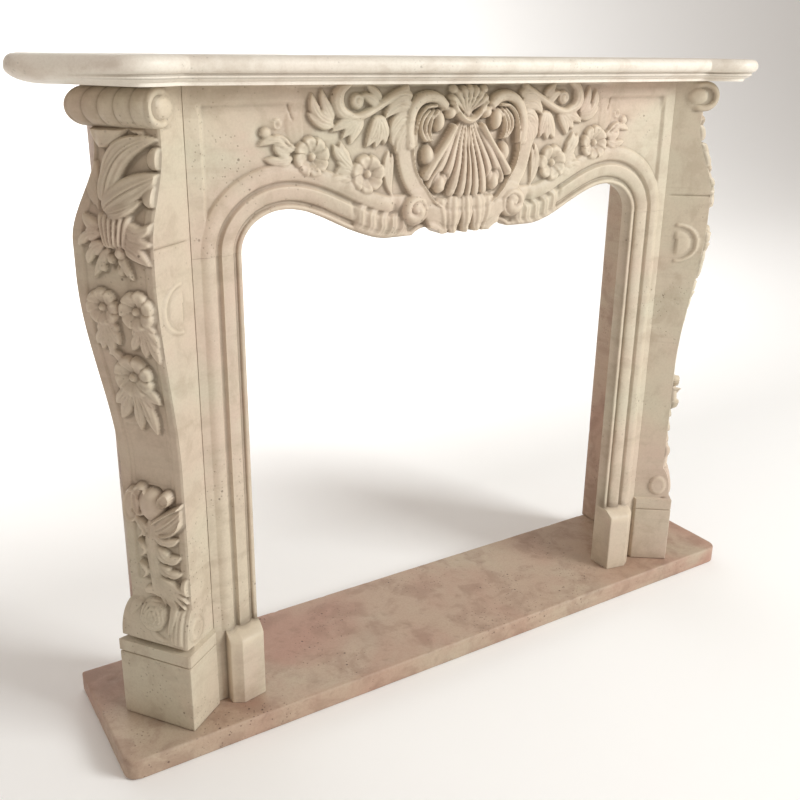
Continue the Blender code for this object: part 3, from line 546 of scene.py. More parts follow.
def carve_sprigs(face):
    """Small leaves and buds outside the first flower, with the blade that rises from it."""
    face.seat = -PANEL_SINK
    face.leaf((0.314, 1.0), (0.323, 1.036), (0.308, 1.066), 0.015, 0.0028, blunt=0.5, veins=False)
    face.leaf((0.33, 0.996), (0.358, 1.008), (0.385, 1.0), 0.0095, 0.013, 2)
    face.leaf((0.332, 0.988), (0.35, 0.99), (0.358, 1.004), 0.007, 0.012)
    face.leaf((0.324, 0.992), (0.338, 0.994), (0.352, 0.986), 0.008, 0.012)
    face.leaf((0.328, 0.98), (0.35, 0.976), (0.375, 0.98), 0.0095, 0.013, 2)
    face.groove([(0.35, 1.014), (0.34, 1.003), (0.329, 0.995)], 0.0016, 0.005)
    face.groove([(0.334, 1.064), (0.331, 1.05), (0.325, 1.034)], 0.0014, 0.004)
    face.pit((0.381, 1.02), 0.01, 0.01, 0.004)
    face.boss((0.371, 1.0185), 0.0095, 0.0085, 0.0065, rim=0.003)
    face.cup((0.352, 1.031), 0.007, 0.009, 0.006)
    face.pit((0.352, 1.031), 0.0035, 0.005, 0.005)


def carve_flowers(face):
    """Two open flowers with the leaves between and beneath them."""
    face.seat = -PANEL_SINK
    face.leaf((0.228, 0.972), (0.24, 0.985), (0.243, 1.002), 0.0095, 0.012)
    face.leaf((0.222, 0.958), (0.241, 0.974), (0.257, 0.997), 0.0125, 0.014, 2)
    face.leaf((0.22, 0.95), (0.238, 0.958), (0.254, 0.951), 0.0095, 0.013)
    face.leaf((0.22, 0.942), (0.246, 0.945), (0.272, 0.939), 0.009, 0.013, 2)
    face.leaf((0.218, 0.934), (0.231, 0.929), (0.244, 0.926), 0.009, 0.012)
    face.leaf((0.146, 0.98), (0.15, 0.945), (0.147, 0.912), 0.005, 0.01)
    face.leaf((0.153, 0.984), (0.159, 0.944), (0.143, 0.906), 0.0065, 0.011)
    face.flower((0.2955, 0.98), 0.0325, 8, 0.0185, turn=0.3, swirl=0.3)
    face.flower((0.195, 0.948), 0.0325, 7, 0.0195, turn=0.75, swirl=0.3)


def carve_upper_leaves(face):
    """The hooked leaf and the crescent under the shelf, with the leaves that hang from its stem."""
    face.seat = -PANEL_SINK
    face.leaf((0.256, 1.034), (0.27, 1.056), (0.276, 1.082), 0.01, 0.014)
    face.leaf((0.256, 1.032), (0.284, 1.044), (0.293, 1.076), 0.013, 0.016, 2)
    face.leaf((0.256, 1.028), (0.28, 1.032), (0.301, 1.047), 0.0095, 0.015)
    face.volute((0.214, 1.062), 0.013, 0.014, 1.3)
    face.leaf((0.17, 1.064), (0.182, 1.076), (0.196, 1.086), 0.0085, 0.015)
    face.leaf((0.176, 1.053), (0.19, 1.066), (0.207, 1.072), 0.009, 0.017)
    face.ribbon([(0.228, 1.088), (0.244, 1.079), (0.2495, 1.061), (0.241, 1.046), (0.222, 1.039)], 0.0075,
                0.018, 4, start=0.6, end=0.9, belly=1.0)
    face.frond((0.176, 1.04), ((0.1625, 0.994), (0.1985, 0.991), (0.181, 0.989)), 0.012, 0.018, bend=0.06)
    face.frond((0.204, 1.036), ((0.2265, 0.996), (0.241, 1.006), (0.261, 1.017)), 0.011, 0.017, bend=-0.08)
    face.ribbon([(0.24, 1.045), (0.221, 1.0385), (0.2017, 1.0415), (0.1723, 1.0555), (0.1465, 1.07),
                (0.124, 1.081)], 0.0078, 0.018, 3, start=0.9)


def carve_frame(face):
    """The acanthus frame of the shell: a plumed scroll above, and a broad band that sweeps down below."""
    face.seat = -FRAME_SINK
    face.ribbon([(0.129, 1.004), (0.127, 0.976), (0.119, 0.946), (0.103, 0.918), (0.082, 0.89),
                (0.064, 0.866), (0.056, 0.842)], 0.016, 0.014, start=0.9, flat=5.0)
    face.ribbon([(0.112, 1.006), (0.1115, 0.9763), (0.105, 0.95), (0.0891, 0.9245), (0.0688, 0.898),
                (0.05, 0.884)], 0.0034, 0.02, end=0.8)
    face.leaf((0.126, 1.022), (0.145, 1.01), (0.146, 0.99), 0.011, 0.017)
    face.leaf((0.112, 1.034), (0.138, 1.032), (0.1535, 1.008), 0.013, 0.019)
    face.leaf((0.112, 1.05), (0.14, 1.055), (0.164, 1.035), 0.0135, 0.02)
    face.leaf((0.112, 1.066), (0.137, 1.07), (0.157, 1.052), 0.012, 0.019)
    face.leaf((0.108, 1.038), (0.137, 1.004), (0.139, 0.974), 0.0085, 0.02)
    face.leaf((0.106, 1.036), (0.13, 1.002), (0.133, 0.968), 0.0085, 0.02)
    face.leaf((0.104, 1.032), (0.122, 1.0), (0.125, 0.968), 0.0085, 0.02)
    face.ribbon([(0.118, 0.992), (0.119, 1.02), (0.113, 1.046), (0.099, 1.062), (0.08, 1.0675),
                (0.062, 1.064), (0.05, 1.053)], 0.013, 0.024, 6, start=0.75, end=0.8, flat=2.6)
    face.ribbon([(0.1075, 0.99), (0.1075, 1.012), (0.101, 1.036), (0.086, 1.051), (0.068, 1.053)], 0.004,
                0.024, start=0.8, end=0.9)
    for shift, height in ((0.0, 0.017), (0.0085, 0.019), (0.0165, 0.021)):
        face.ribbon([(0.079 - shift, 1.046), (0.0955 - shift, 1.022), (0.084 - 0.6 * shift, 0.997)],
                    0.0046, height, start=0.7, end=0.6, belly=0.3)
    face.boss((0.06, 1.029), 0.0115, 0.0185, 0.024, rim=0.003)
    face.boss((0.08, 0.973), 0.012, 0.018, 0.021, rim=0.004)


def carve_shell(face):
    """The great shell in the middle, the cup shell over it and the curved band under the cup shell."""
    face.seat = -FRAME_SINK
    face.shell((0.0, 1.054), 0.03, 0.158, math.radians(35.0), 9, 0.03)
    face.seat = 0.0
    face.shell((0.0, 1.036), 0.01, 0.052, math.radians(58.0), 7, 0.022, opens=1, spread=1.0)
    face.ribbon([(-0.034, 1.058), (0.0, 1.028), (0.034, 1.058)], 0.006, 0.024, 2)


def carve_shell_sides(face):
    """The thick outer ribs of the shell, the pearls, the knobs and the stones at its edge."""
    face.seat = -FRAME_SINK
    face.ribbon([(0.03, 1.018), (0.046, 0.994), (0.067, 0.966), (0.086, 0.94)], 0.009, 0.028, 2,
                start=0.7, flat=2.6)
    face.pit((0.057, 0.925), 0.018, 0.02, 0.012)
    face.boss((0.057, 0.925), 0.013, 0.017, 0.024, rim=0.004)
    face.seat = 0.0
    face.boss((0.0375, 1.0415), 0.0108, 0.0108, 0.021, rim=0.003)
    face.boss((0.0115, 1.076), 0.0095, 0.0095, 0.019, rim=0.002)
    face.boss((0.031, 1.079), 0.0085, 0.008, 0.018)


def carve_foot_of_shell(face):
    """The broad flaps that hang under the shell and the volutes at the ends of the frame."""
    face.seat = -FLAP_SINK
    face.leaf((0.05, 0.9), (0.047, 0.866), (0.036, 0.832), 0.015, 0.019, blunt=0.2, veins=False)
    face.leaf((0.024, 0.902), (0.026, 0.866), (0.024, 0.826), 0.019, 0.023, blunt=0.2, veins=False)
    face.leaf((0.0, 0.904), (0.0, 0.866), (0.0, 0.824), 0.015, 0.026, blunt=0.2, veins=False)
    face.volute((0.1045, 0.8835), 0.0275, 0.026, 1.5)


def carve_leaf_wraps(face, e):
    """Thin ribbed leaves that wrap over the opening's moulding and lean towards the volute."""
    a = face.across
    start, end, reach = 0.112, 0.218, 0.050
    at = np.nonzero((a > start) & (a < end) & (e < reach))
    share = (a[at] - start) / (end - start)
    across = e[at] / reach
    turn = 5.0 * share + 1.3 * (across - 0.5) + 0.24 * np.sin(2 * math.pi * across)
    rib = np.abs(np.sin(math.pi * turn)) ** 0.7
    tips = 0.84 + 0.16 * rib
    ends = np.sqrt(unit(9.0 * share * (1.0 - share)))
    vein = 1.0 - 0.20 * np.abs(np.sin(3 * math.pi * turn))
    face.seat = -WRAP_SINK
    face.raise_to(at, across < tips,
                  WRAP_HEIGHT * (0.45 + 0.55 * rib) * dome(2.0 * across / tips - 1.0, 2.6) * ends * vein)
    face.pit((0.219, 0.893), 0.004, 0.012, 0.005)
    face.pit((0.142, 0.890), 0.006, 0.013, 0.006)


def carved_frieze():
    inner, outer = arch_columns(CORNER_COLUMNS, STRAIGHT_COLUMNS)
    share = np.linspace(0.0, 1.0, FRIEZE_STEPS + 1)
    x = inner[:, :1] + (outer[:, :1] - inner[:, :1]) * share
    z = inner[:, 1:] + (outer[:, 1:] - inner[:, 1:]) * share
    e = distance_to_opening(x, z)
    ground = frieze_ground(x, z, e)
    face = Carving(np.abs(x), z, ground)
    carve_sprigs(face)
    carve_flowers(face)
    carve_upper_leaves(face)
    carve_frame(face)
    middle = Carving(x, z, face.height)
    carve_shell(middle)
    face.height = middle.height
    carve_shell_sides(face)
    carve_foot_of_shell(face)
    carve_leaf_wraps(face, e)
    flat_edge = smooth_step(SHELF_UNDERSIDE - GAP - z, 0.0, 0.004)
    height = ground + RELIEF_SHARE * (softened(face.height) - ground)
    height = height + hand_work(x, z, FRIEZE_MARKS) * flat_edge
    rings = np.zeros((len(inner), FRIEZE_STEPS + 3, 3))
    rings[:, :-2, 0], rings[:, :-2, 1], rings[:, :-2, 2] = x, BOARD_FRONT - height, z
    for place, edge in ((-2, outer), (-1, inner)):
        rings[:, place, 0], rings[:, place, 1], rings[:, place, 2] = edge[:, 0], BOARD_BACK, edge[:, 1]
    # Painted shade in the carving's crevices and a painted highlight, partly wear, on its proud edges, stored
    # for the finish.
    worn_and_shaded = np.zeros(rings.shape[:2])
    worn_and_shaded[:, :-2] = hollowness(height)
    return from_rings("carved_frieze", rings, True, worn_and_shaded)


# Legs
def leg_profile(z):
    """How far the carved face stands out from the plinth's face at each height."""
    foot = -WAIST_SET_BACK * smooth_step(z, CAP_TOP - 0.003, CAP_TOP + 0.001)
    rise = (WAIST_SET_BACK + BELLY_PROJECTION) * smooth_step(z, WAIST_TOP, BELLY_BOTTOM)
    fall = (BELLY_PROJECTION + NECK_SET_BACK) * smooth_step(z, BELLY_TOP, NECK_HEIGHT)
    roll = ROLL_PROJECTION - ROLL_RADIUS + ROLL_RADIUS * dome((z - ROLL_CENTRE) / ROLL_RADIUS)
    roll = np.where(np.abs(z - ROLL_CENTRE) < ROLL_RADIUS, roll, -1.0)
    cushion = CUSHION_RISE * dome((z - CUSHION_MIDDLE) / CUSHION_REACH) - CUSHION_SEAT
    cushion = np.where(z > CAP_TOP + CUSHION_JOINT, cushion, -1.0)
    return np.maximum(foot + rise - fall, np.maximum(roll, cushion))


def carve_leg_top(face):
    """The lip leaf under the roll and the great leaves that sweep down from it."""
    face.pit((0.11, 0.985), 0.022, 0.034, 0.005)
    face.seat = -LEG_PANEL_SINK
    face.leaf((0.124, 0.996), (0.12, 0.962), (0.104, 0.924), 0.01, 0.009)
    face.leaf((0.114, 0.985), (0.108, 0.95), (0.096, 0.918), 0.009, 0.009, 2)
    face.seat = 0.0
    face.boss((0.008, 0.9915), 0.0145, 0.016, 0.012, rim=0.003)
    face.boss((0.008, 0.943), 0.0155, 0.017, 0.013, rim=0.003)
    face.leaf((0.084, 0.93), (0.066, 0.992), (0.004, 1.018), 0.019, 0.019, blunt=0.35)
    face.leaf((0.09, 0.956), (0.072, 1.004), (0.02, 1.021), 0.009, 0.021, blunt=0.35)
    face.groove([(0.082, 0.937), (0.052, 0.962), (0.006, 0.974)], 0.0018, 0.007)
    face.leaf((0.083, 0.92), (0.046, 0.946), (-0.004, 0.969), 0.023, 0.021, blunt=0.35)
    face.leaf((0.074, 0.915), (0.046, 0.922), (0.02, 0.936), 0.011, 0.022, blunt=0.35)
    face.leaf((0.078, 1.056), (0.088, 1.032), (0.0985, 1.003), 0.035, 0.021, blunt=0.3, veins=False)
    face.leaf((0.052, 1.042), (0.044, 1.036), (0.036, 1.024), 0.008, 0.011)
    face.leaf((0.04, 1.036), (0.032, 1.03), (0.024, 1.018), 0.006, 0.01)


def carve_leg_belly(face):
    """The ribbed bundle, the curled leaves beside it and the cluster of knobs."""
    face.leaf((0.044, 0.902), (0.02, 0.892), (-0.003, 0.908), 0.01, 0.014, blunt=0.3)
    face.leaf((0.043, 0.886), (0.022, 0.878), (0.0, 0.876), 0.011, 0.014, blunt=0.3)
    face.leaf((0.044, 0.872), (0.024, 0.862), (0.004, 0.846), 0.013, 0.015, blunt=0.3)
    face.leaf((0.088, 0.898), (0.104, 0.899), (0.121, 0.913), 0.009, 0.012)
    face.leaf((0.084, 0.886), (0.106, 0.884), (0.128, 0.867), 0.011, 0.014, 2)
    face.leaf((0.08, 0.872), (0.1, 0.862), (0.113, 0.84), 0.011, 0.014, 2)
    face.pleats((0.042, 0.077), (0.035, 0.094), 0.866, 0.915, 6, 0.018)
    face.leaf((0.056, 0.866), (0.048, 0.844), (0.036, 0.822), 0.008, 0.011)
    face.leaf((0.074, 0.866), (0.088, 0.846), (0.105, 0.82), 0.008, 0.01)
    face.boss((0.053, 0.861), 0.0085, 0.009, 0.016, rim=0.002)
    face.boss((0.07, 0.851), 0.0065, 0.008, 0.012, rim=0.002)
    face.boss((0.086, 0.838), 0.006, 0.0075, 0.009, rim=0.002)
    face.boss((0.055, 0.834), 0.006, 0.0075, 0.009, rim=0.002)
    face.pit((0.071, 0.84), 0.004, 0.005, 0.006)


def carve_leg_flowers(face):
    """Three open flowers with the feathery leaves that hang between them."""
    face.frond((0.092, 0.76), ((0.118, 0.716), (0.076, 0.718), (0.109, 0.708), (0.092, 0.7)), 0.012,
               0.012, bend=0.05, lobes=2)
    face.frond((0.03, 0.76), ((0.054, 0.713), (0.004, 0.722), (0.031, 0.703), (0.008, 0.695)), 0.012,
               0.013, bend=0.05, lobes=2)
    face.flower((0.0945, 0.777), 0.0295, 8, 0.017, turn=0.2, swirl=0.3)
    face.flower((0.034, 0.776), 0.031, 7, 0.019, turn=0.9, swirl=0.4)
    face.frond((0.062, 0.662), ((0.104, 0.618), (0.02, 0.626), (0.098, 0.592), (0.064, 0.576),
               (0.034, 0.572)), 0.015, 0.014, bend=0.04, lobes=2)
    face.leaf((0.074, 0.688), (0.086, 0.704), (0.1, 0.7), 0.007, 0.01)
    face.flower((0.059, 0.668), 0.0355, 8, 0.019, turn=0.4)


def carve_leg_waist(face):
    """The bud between its petals, the thorny stem and the fluted sheath over the rose."""
    face.cup((0.097, 0.44), 0.017, 0.033, 0.016, lean=0.15)
    face.cup((0.079, 0.452), 0.017, 0.029, 0.018, lean=0.05)
    face.boss((0.058, 0.446), 0.023, 0.029, 0.023, rim=0.003)
    face.cup((0.03, 0.462), 0.011, 0.015, 0.024, lean=0.6)
    face.leaf((0.056, 0.4), (0.026, 0.42), (-0.003, 0.45), 0.02, 0.018, blunt=0.3)
    face.ribbon([(0.055, 0.418), (0.026, 0.44), (-0.003, 0.456)], 0.0032, 0.024, end=0.9)
    face.ribbon([(0.044, 0.396), (0.012, 0.412), (-0.002, 0.446)], 0.003, 0.021, end=0.9)
    face.leaf((0.066, 0.396), (0.078, 0.408), (0.094, 0.43), 0.008, 0.015, blunt=0.3)
    face.ribbon([(0.073, 0.392), (0.082, 0.416), (0.095, 0.431)], 0.0028, 0.017, end=0.8)
    face.ribbon([(0.06, 0.412), (0.066, 0.382), (0.064, 0.35), (0.06, 0.318), (0.058, 0.296)], 0.015,
                0.012, 3, start=0.8)
    face.leaf((0.056, 0.402), (0.038, 0.384), (0.014, 0.392), 0.011, 0.014, 2)
    face.leaf((0.054, 0.372), (0.036, 0.352), (0.012, 0.36), 0.012, 0.014, 2)
    face.leaf((0.052, 0.342), (0.034, 0.326), (0.012, 0.33), 0.011, 0.013, 2)
    for top in (0.414, 0.379, 0.338):
        face.ribbon([(0.09, top), (0.079, top - 0.007), (0.0765, top - 0.018), (0.086, top - 0.028)],
                    0.0042, 0.015, start=0.5, end=0.5, belly=0.6)
        face.leaf((0.064, top - 0.012), (0.078, top - 0.012), (0.092, top + 0.001), 0.005, 0.015)
    face.boss((0.006, 0.305), 0.01, 0.015, 0.012)
    face.frond((0.062, 0.318), ((0.0, 0.288), (0.002, 0.274), (0.008, 0.262), (0.02, 0.257),
               (0.032, 0.258), (0.046, 0.262)), 0.0062, 0.015, bend=0.05)


def carve_leg_foot(face):
    """The full rose on the swelling foot, with its leaves."""
    face.leaf((0.086, 0.28), (0.066, 0.288), (0.044, 0.272), 0.008, 0.012)
    face.leaf((0.092, 0.262), (0.104, 0.254), (0.112, 0.236), 0.008, 0.004)
    face.pleats((0.008, 0.032), (0.008, 0.03), 0.2, 0.262, 3, 0.007)
    face.leaf((0.05, 0.272), (0.028, 0.26), (0.036, 0.216), 0.008, 0.011)
    face.leaf((0.07, 0.222), (0.056, 0.208), (0.036, 0.206), 0.006, 0.005)
    face.rose((0.066, 0.245), 0.0275, 0.014)


def leg_face(u, z, width):
    """Height of the carved face over the leg's profile, u measured from the inner edge."""
    on_roll = smooth_step(z, ROLL_CENTRE - ROLL_RADIUS - 0.001, ROLL_CENTRE - ROLL_RADIUS + 0.009)
    on_roll = on_roll * smooth_step(SHELF_UNDERSIDE - z, 0.0, 0.004)
    flutes = FLUTE_DEPTH * (np.abs(np.sin(math.pi * ROLL_FLUTES * u / width)) ** 0.8 - 0.8)
    panel_top, panel_bottom, border = 0.584, 0.478, 0.014
    across = smooth_step(u, border, border + 0.004) * smooth_step(width - u, border, border + 0.004)
    body = smooth_step(z, 0.300, 0.306) * smooth_step(1.016 - z, 0.0, 0.006)
    sunk = -LEG_PANEL_SINK * across * body
    line = border + 0.008
    inner = smooth_step(u, line, line + 0.003) * smooth_step(width - u, line, line + 0.003)
    upright = smooth_step(z, panel_bottom, panel_bottom + 0.003) * smooth_step(panel_top - z, 0.0, 0.003)
    face = Carving(u, z, sunk - 0.0015 * inner * upright)
    carve_leg_top(face)
    carve_leg_belly(face)
    carve_leg_flowers(face)
    carve_leg_waist(face)
    carve_leg_foot(face)
    on_shaft = smooth_step(z, CAP_TOP - 0.002, CAP_TOP + 0.010) * smooth_step(1.034 - z, 0.0, 0.006)
    height = LEG_RELIEF_SHARE * softened(face.height) * on_shaft + flutes * on_roll
    height = height + hand_work(u, z, LEG_MARKS)
    return height * smooth_step(u, 0.0, 0.004) * smooth_step(width - u, 0.0, 0.004)


def leg_flank(k, z):
    """Height of the low carving on the side face, k measured back from the plinth's corner."""
    scroll, scroll_reach, line = 0.030, 0.0225, 0.0052
    reach = np.hypot((k - scroll) / 1.20, z - ROLL_CENTRE)
    towards_wall = (k - scroll) / np.maximum(reach, 0.001)
    ring = 0.0048 * dome(np.clip((reach - scroll_reach) / line, -1.0, 1.0))
    ring = ring * (1.0 - 0.8 * smooth_step(towards_wall, 0.2, 0.8))
    boss = 0.0055 * dome(np.hypot((k - scroll - 0.010) / 0.0190, (z - ROLL_CENTRE) / 0.0155))
    half = np.hypot((k - 0.051) / 0.042, (z - 0.771) / 0.037)
    arc = 0.0030 * dome(np.clip((half - 1.0) / 0.10, -1.0, 1.0))
    half_oval = np.where(k < 0.053, np.maximum(arc, 0.0034 * dome(half / 0.68)), 0.0)
    foot = np.hypot((k - 0.034) / 0.019, (z - 0.222) / 0.023)
    foot_scroll = 0.0050 * dome(foot) * (0.75 + 0.25 * smooth_step(foot, 0.45, 0.75))
    forms = np.maximum.reduce([ring, boss, half_oval, foot_scroll])
    return forms - 0.0025 * fading(z, 0.868, 0.0016) + hand_work(k, z, FLANK_MARKS)


def leg_place(u, n):
    """Where a point lies in plan, u along the leg's face from its corner and n out of the face."""
    return LEG_CORNER[0] + u * ALONG[0] + n * OUTWARD[0], LEG_CORNER[1] + u * ALONG[1] + n * OUTWARD[1]


def carved_leg(side, word):
    low, top = PLINTH_TOP + GAP, SHELF_UNDERSIDE - GAP
    z = np.concatenate([np.linspace(low, CAP_TOP, 18, endpoint=False), np.linspace(CAP_TOP, top, LEG_LEVELS)])
    z = z[:, None]
    n = leg_profile(z) - JOINT_DEPTH * fading(z, low, JOINT_WIDTH)
    inset = LEG_SIDE_INSET * smooth_step(z, CAP_TOP - 0.001, CAP_TOP + 0.001)
    inset = inset + 0.8 * JOINT_DEPTH * fading(z, low, JOINT_WIDTH)
    depth = (LEG_CORNER[0] + inset * ALONG[0] - BOARD_HALF_WIDTH - GAP) / OUTWARD[0]
    share = np.linspace(0.0, 1.0, LEG_SIDE_STEPS, endpoint=False)
    k = depth + (-n - depth) * share
    lift = leg_flank(k, z) * unit(6.0 * share) * smooth_step(k + n, 0.0, ARRIS_REACH)
    width = (LEG_BACK - LEG_CORNER[1] - n * OUTWARD[1]) / ALONG[1] - inset
    u = width * np.linspace(0.0, 1.0, LEG_FACE_STEPS + 1)
    relief = leg_face(u, np.broadcast_to(z, u.shape), width)
    arris = ARRIS_WEAR * (1.0 - smooth_step(u, 0.0, ARRIS_REACH))
    flank, front = slice(1, 1 + LEG_SIDE_STEPS), slice(1 + LEG_SIDE_STEPS, None)
    rings = np.zeros((len(z), LEG_SIDE_STEPS + LEG_FACE_STEPS + 2, 3))
    rings[:, 0, 0], rings[:, 0, 1] = BOARD_HALF_WIDTH + GAP, LEG_BACK
    rings[:, flank, 0], rings[:, flank, 1] = leg_place(inset - lift, -k)
    rings[:, front, 0], rings[:, front, 1] = leg_place(inset + u, n + relief - arris)
    rings[:, :, 0] *= side
    rings[:, :, 2] = z
    # Painted shade in the leg's crevices and a painted highlight, partly wear, on its proud edges, stored for
    # the finish.
    worn_and_shaded = np.zeros(rings.shape[:2])
    worn_and_shaded[:, front] = hollowness(relief)
    worn_and_shaded[:, flank] = hollowness(lift)
    return from_rings(word + "_carved_leg", rings, side < 0, worn_and_shaded)


# Jambs
def moulded_jamb(side, word):
    """The moulded shaft and its foot, faceted along a ridge, cut from one stone."""
    widths = np.linspace(0.0, BOARD_HALF_WIDTH - OPENING_HALF_WIDTH, 90)
    x = np.concatenate([OPENING_HALF_WIDTH + widths, [BOARD_HALF_WIDTH, OPENING_HALF_WIDTH]])
    y = np.concatenate([BOARD_FRONT - moulding(widths), [BOARD_BACK, BOARD_BACK]])
    outer = widths[-1] - FOOT_OUTER_MARGIN
    projections = (FOOT_INNER_PROJECTION, FOOT_RIDGE_PROJECTION, FOOT_OUTER_PROJECTION)
    distance = x - OPENING_HALF_WIDTH
    front = np.interp(distance, (0.0, FOOT_RIDGE, outer), projections)
    worn_edge = np.minimum(distance, outer - distance) / FOOT_ARRIS
    front = front - ARRIS_WEAR * (1.0 - dome(1.0 - unit(worn_edge)))
    front = np.where(distance > outer, 0.0, front)
    bottom, top, slope_start = HEARTH_TOP + GAP, SPRING_HEIGHT - GAP, JAMB_FOOT_TOP - FOOT_SLOPE_HEIGHT
    levels = [(z, 1.0) for z in np.linspace(bottom, slope_start, 24)]
    for share in np.linspace(0.0, 1.0, 9)[1:]:
        levels.append((slope_start + FOOT_SLOPE_HEIGHT * share, 1.0 - 0.85 * share ** 1.3))
    rings = []
    for z, share in levels:
        height = np.full(x.shape, z)
        foot_y = BOARD_FRONT - share * front - hand_work(x, height, PLAIN_MARKS)
        rings.append(np.stack([x, np.where(y < BOARD_BACK - GAP, foot_y, y), height], axis=1))
    for z in np.linspace(JAMB_FOOT_TOP + 0.002, top, 110):
        height = np.full(x.shape, z)
        rings.append(np.stack([x, y - hand_work(x, height, PLAIN_MARKS), height], axis=1))
    rings = np.array(rings)
    rings[:, -2:, 1] = BOARD_BACK
    rings[:, :, 0] *= side
    # Painted shade in the moulding's grooves and a painted highlight on its rounds, stored for the finish.
    hollow = np.zeros(rings.shape[:2])
    hollow[:, :-2] = hollowness(-rings[:, :-2, 1])
    return from_rings(word + "_moulded_jamb", rings, side < 0, hollow)


# Plain blocks
def block(name, outline, bottom, top, arris, cell):
    """An upright block with rounded arrises, its faces divided into cells for the wear that follows."""
    work = bmesh.new()
    base = work.faces.new([work.verts.new((x, y, bottom)) for x, y in outline])
    grown = bmesh.ops.extrude_face_region(work, geom=[base])["geom"]
    risen = [part for part in grown if isinstance(part, bmesh.types.BMVert)]
    bmesh.ops.translate(work, vec=(0.0, 0.0, top - bottom), verts=risen)
    bmesh.ops.recalc_face_normals(work, faces=work.faces)
    edges = [edge for edge in work.edges if edge.calc_face_angle(0.0) > math.radians(30)]
    bmesh.ops.bevel(work, geom=edges, offset=arris, segments=3, profile=0.5, affect="EDGES")
    corners = np.array([v.co for v in work.verts])
    low, high = corners.min(axis=0), corners.max(axis=0)
    for axis in range(3):
        normal = [1.0 if i == axis else 0.0 for i in range(3)]
        cuts = max(int((high[axis] - low[axis]) / cell), 1)
        for i in range(1, cuts):
            point = [0.0, 0.0, 0.0]
            point[axis] = low[axis] + (high[axis] - low[axis]) * i / cuts
            parts = work.verts[:] + work.edges[:] + work.faces[:]
            bmesh.ops.bisect_plane(work, geom=parts, plane_co=point, plane_no=normal)
    bmesh.ops.recalc_face_normals(work, faces=work.faces)
    mesh = bpy.data.meshes.new(name)
    work.to_mesh(mesh)
    work.free()
    return dressed(name, mesh)


def leg_plinth(side, word):
    depth = (LEG_CORNER[0] - BOARD_HALF_WIDTH - GAP) / OUTWARD[0]
    width = (LEG_BACK - LEG_CORNER[1]) / ALONG[1]
    outline = [(BOARD_HALF_WIDTH + GAP, LEG_BACK), leg_place(0.0, -depth), leg_place(0.0, 0.0),
               leg_place(width, 0.0)]
    outline = [(side * x, y) for x, y in outline]
    return block(word + "_plinth_block", outline, HEARTH_TOP + GAP, PLINTH_TOP, PLINTH_ARRIS, 0.006)


def return_slab(side, word):
    near, far = side * RETURN_LOW.x, side * RETURN_HIGH.x
    outline = [(min(near, far), RETURN_LOW.y), (max(near, far), RETURN_LOW.y), (max(near, far), WALL),
               (min(near, far), WALL)]
    return block(word + "_return_slab", outline, HEARTH_TOP + GAP, RETURN_HIGH.z, RETURN_ARRIS, 0.012)


def hearth_stone():
    left, right, front, radius = HEARTH_LOW.x, HEARTH_HIGH.x, HEARTH_LOW.y, HEARTH_CORNER_RADIUS
    outline = [(left, WALL)]
    for centre, start in ((left + radius, 180.0), (right - radius, 270.0)):
        for i in range(7):
            angle = math.radians(start + 15.0 * i)
            outline.append((centre + radius * math.cos(angle), front + radius + radius * math.sin(angle)))
    outline.append((right, WALL))
    return block("hearth_stone", outline, 0.0, HEARTH_TOP, HEARTH_ARRIS, 0.0085)


# Shelf
def rounded_corner(before, corner, after, radius, steps=18):
    """Points that round one corner of an outline, starting the radius before it."""
    before, corner, after = np.array(before), np.array(corner), np.array(after)
    start = corner + (before - corner) * radius / np.linalg.norm(before - corner)
    end = corner + (after - corner) * radius / np.linalg.norm(after - corner)
    t = np.linspace(0.0, 1.0, steps + 1)[:, None]
    return (1 - t) ** 2 * start + 2 * t * (1 - t) * corner + t ** 2 * end


def shelf_front():
    """The nosing's line on the right half, from the middle to the wall, as (x, distance from the wall)."""
    ear_depth = WALL - SHELF_LOW.y
    t = np.linspace(0.0, 1.0, 60, endpoint=False)
    swell = (SHELF_BOW_DEPTH - SHELF_RUN_DEPTH) * (0.5 + 0.5 * np.cos(math.pi * t))
    parts = [np.stack([SHELF_RUN_X * t, SHELF_RUN_DEPTH + swell], axis=1)]
    t = np.append(np.linspace(0.0, 0.98, 32), (0.996, 1.0))
    x = SHELF_RUN_X + (SHELF_VALLEY_X - SHELF_RUN_X) * t
    parts.append(np.stack([x, SHELF_RUN_DEPTH + (SHELF_VALLEY_DEPTH - SHELF_RUN_DEPTH) * t * t], axis=1))
    t = np.append(0.01, np.linspace(0.05, 1.0, 22))
    x = SHELF_VALLEY_X + (SHELF_EAR_START - SHELF_VALLEY_X) * t
    swell = (ear_depth - SHELF_VALLEY_DEPTH) * np.sin(math.pi / 2 * t)
    parts.append(np.stack([x, SHELF_VALLEY_DEPTH + swell], axis=1))
    ear, tip = (SHELF_EAR_X, ear_depth), (SHELF_TIP_X, SHELF_TIP_DEPTH)
    back = (SHELF_BACK_HALF_WIDTH, 0.0)
    rounded_ear = rounded_corner((SHELF_EAR_START, ear_depth), ear, tip, SHELF_CORNER_ROUNDING)
    rounded_tip = rounded_corner(ear, tip, back, SHELF_CORNER_ROUNDING)
    share = np.linspace(0.0, 1.0, 26)[1:-1, None]
    parts += [rounded_ear[1:], rounded_ear[-1] * (1 - share) + rounded_tip[0] * share, rounded_tip]
    share = np.linspace(0.0, 1.0, 26)[1:, None]
    parts.append(rounded_tip[-1] * (1 - share) + np.array([back]) * share)
    points = np.vstack(parts)
    points[:, 0] = np.minimum(points[:, 0], SHELF_HIGH.x)
    return points


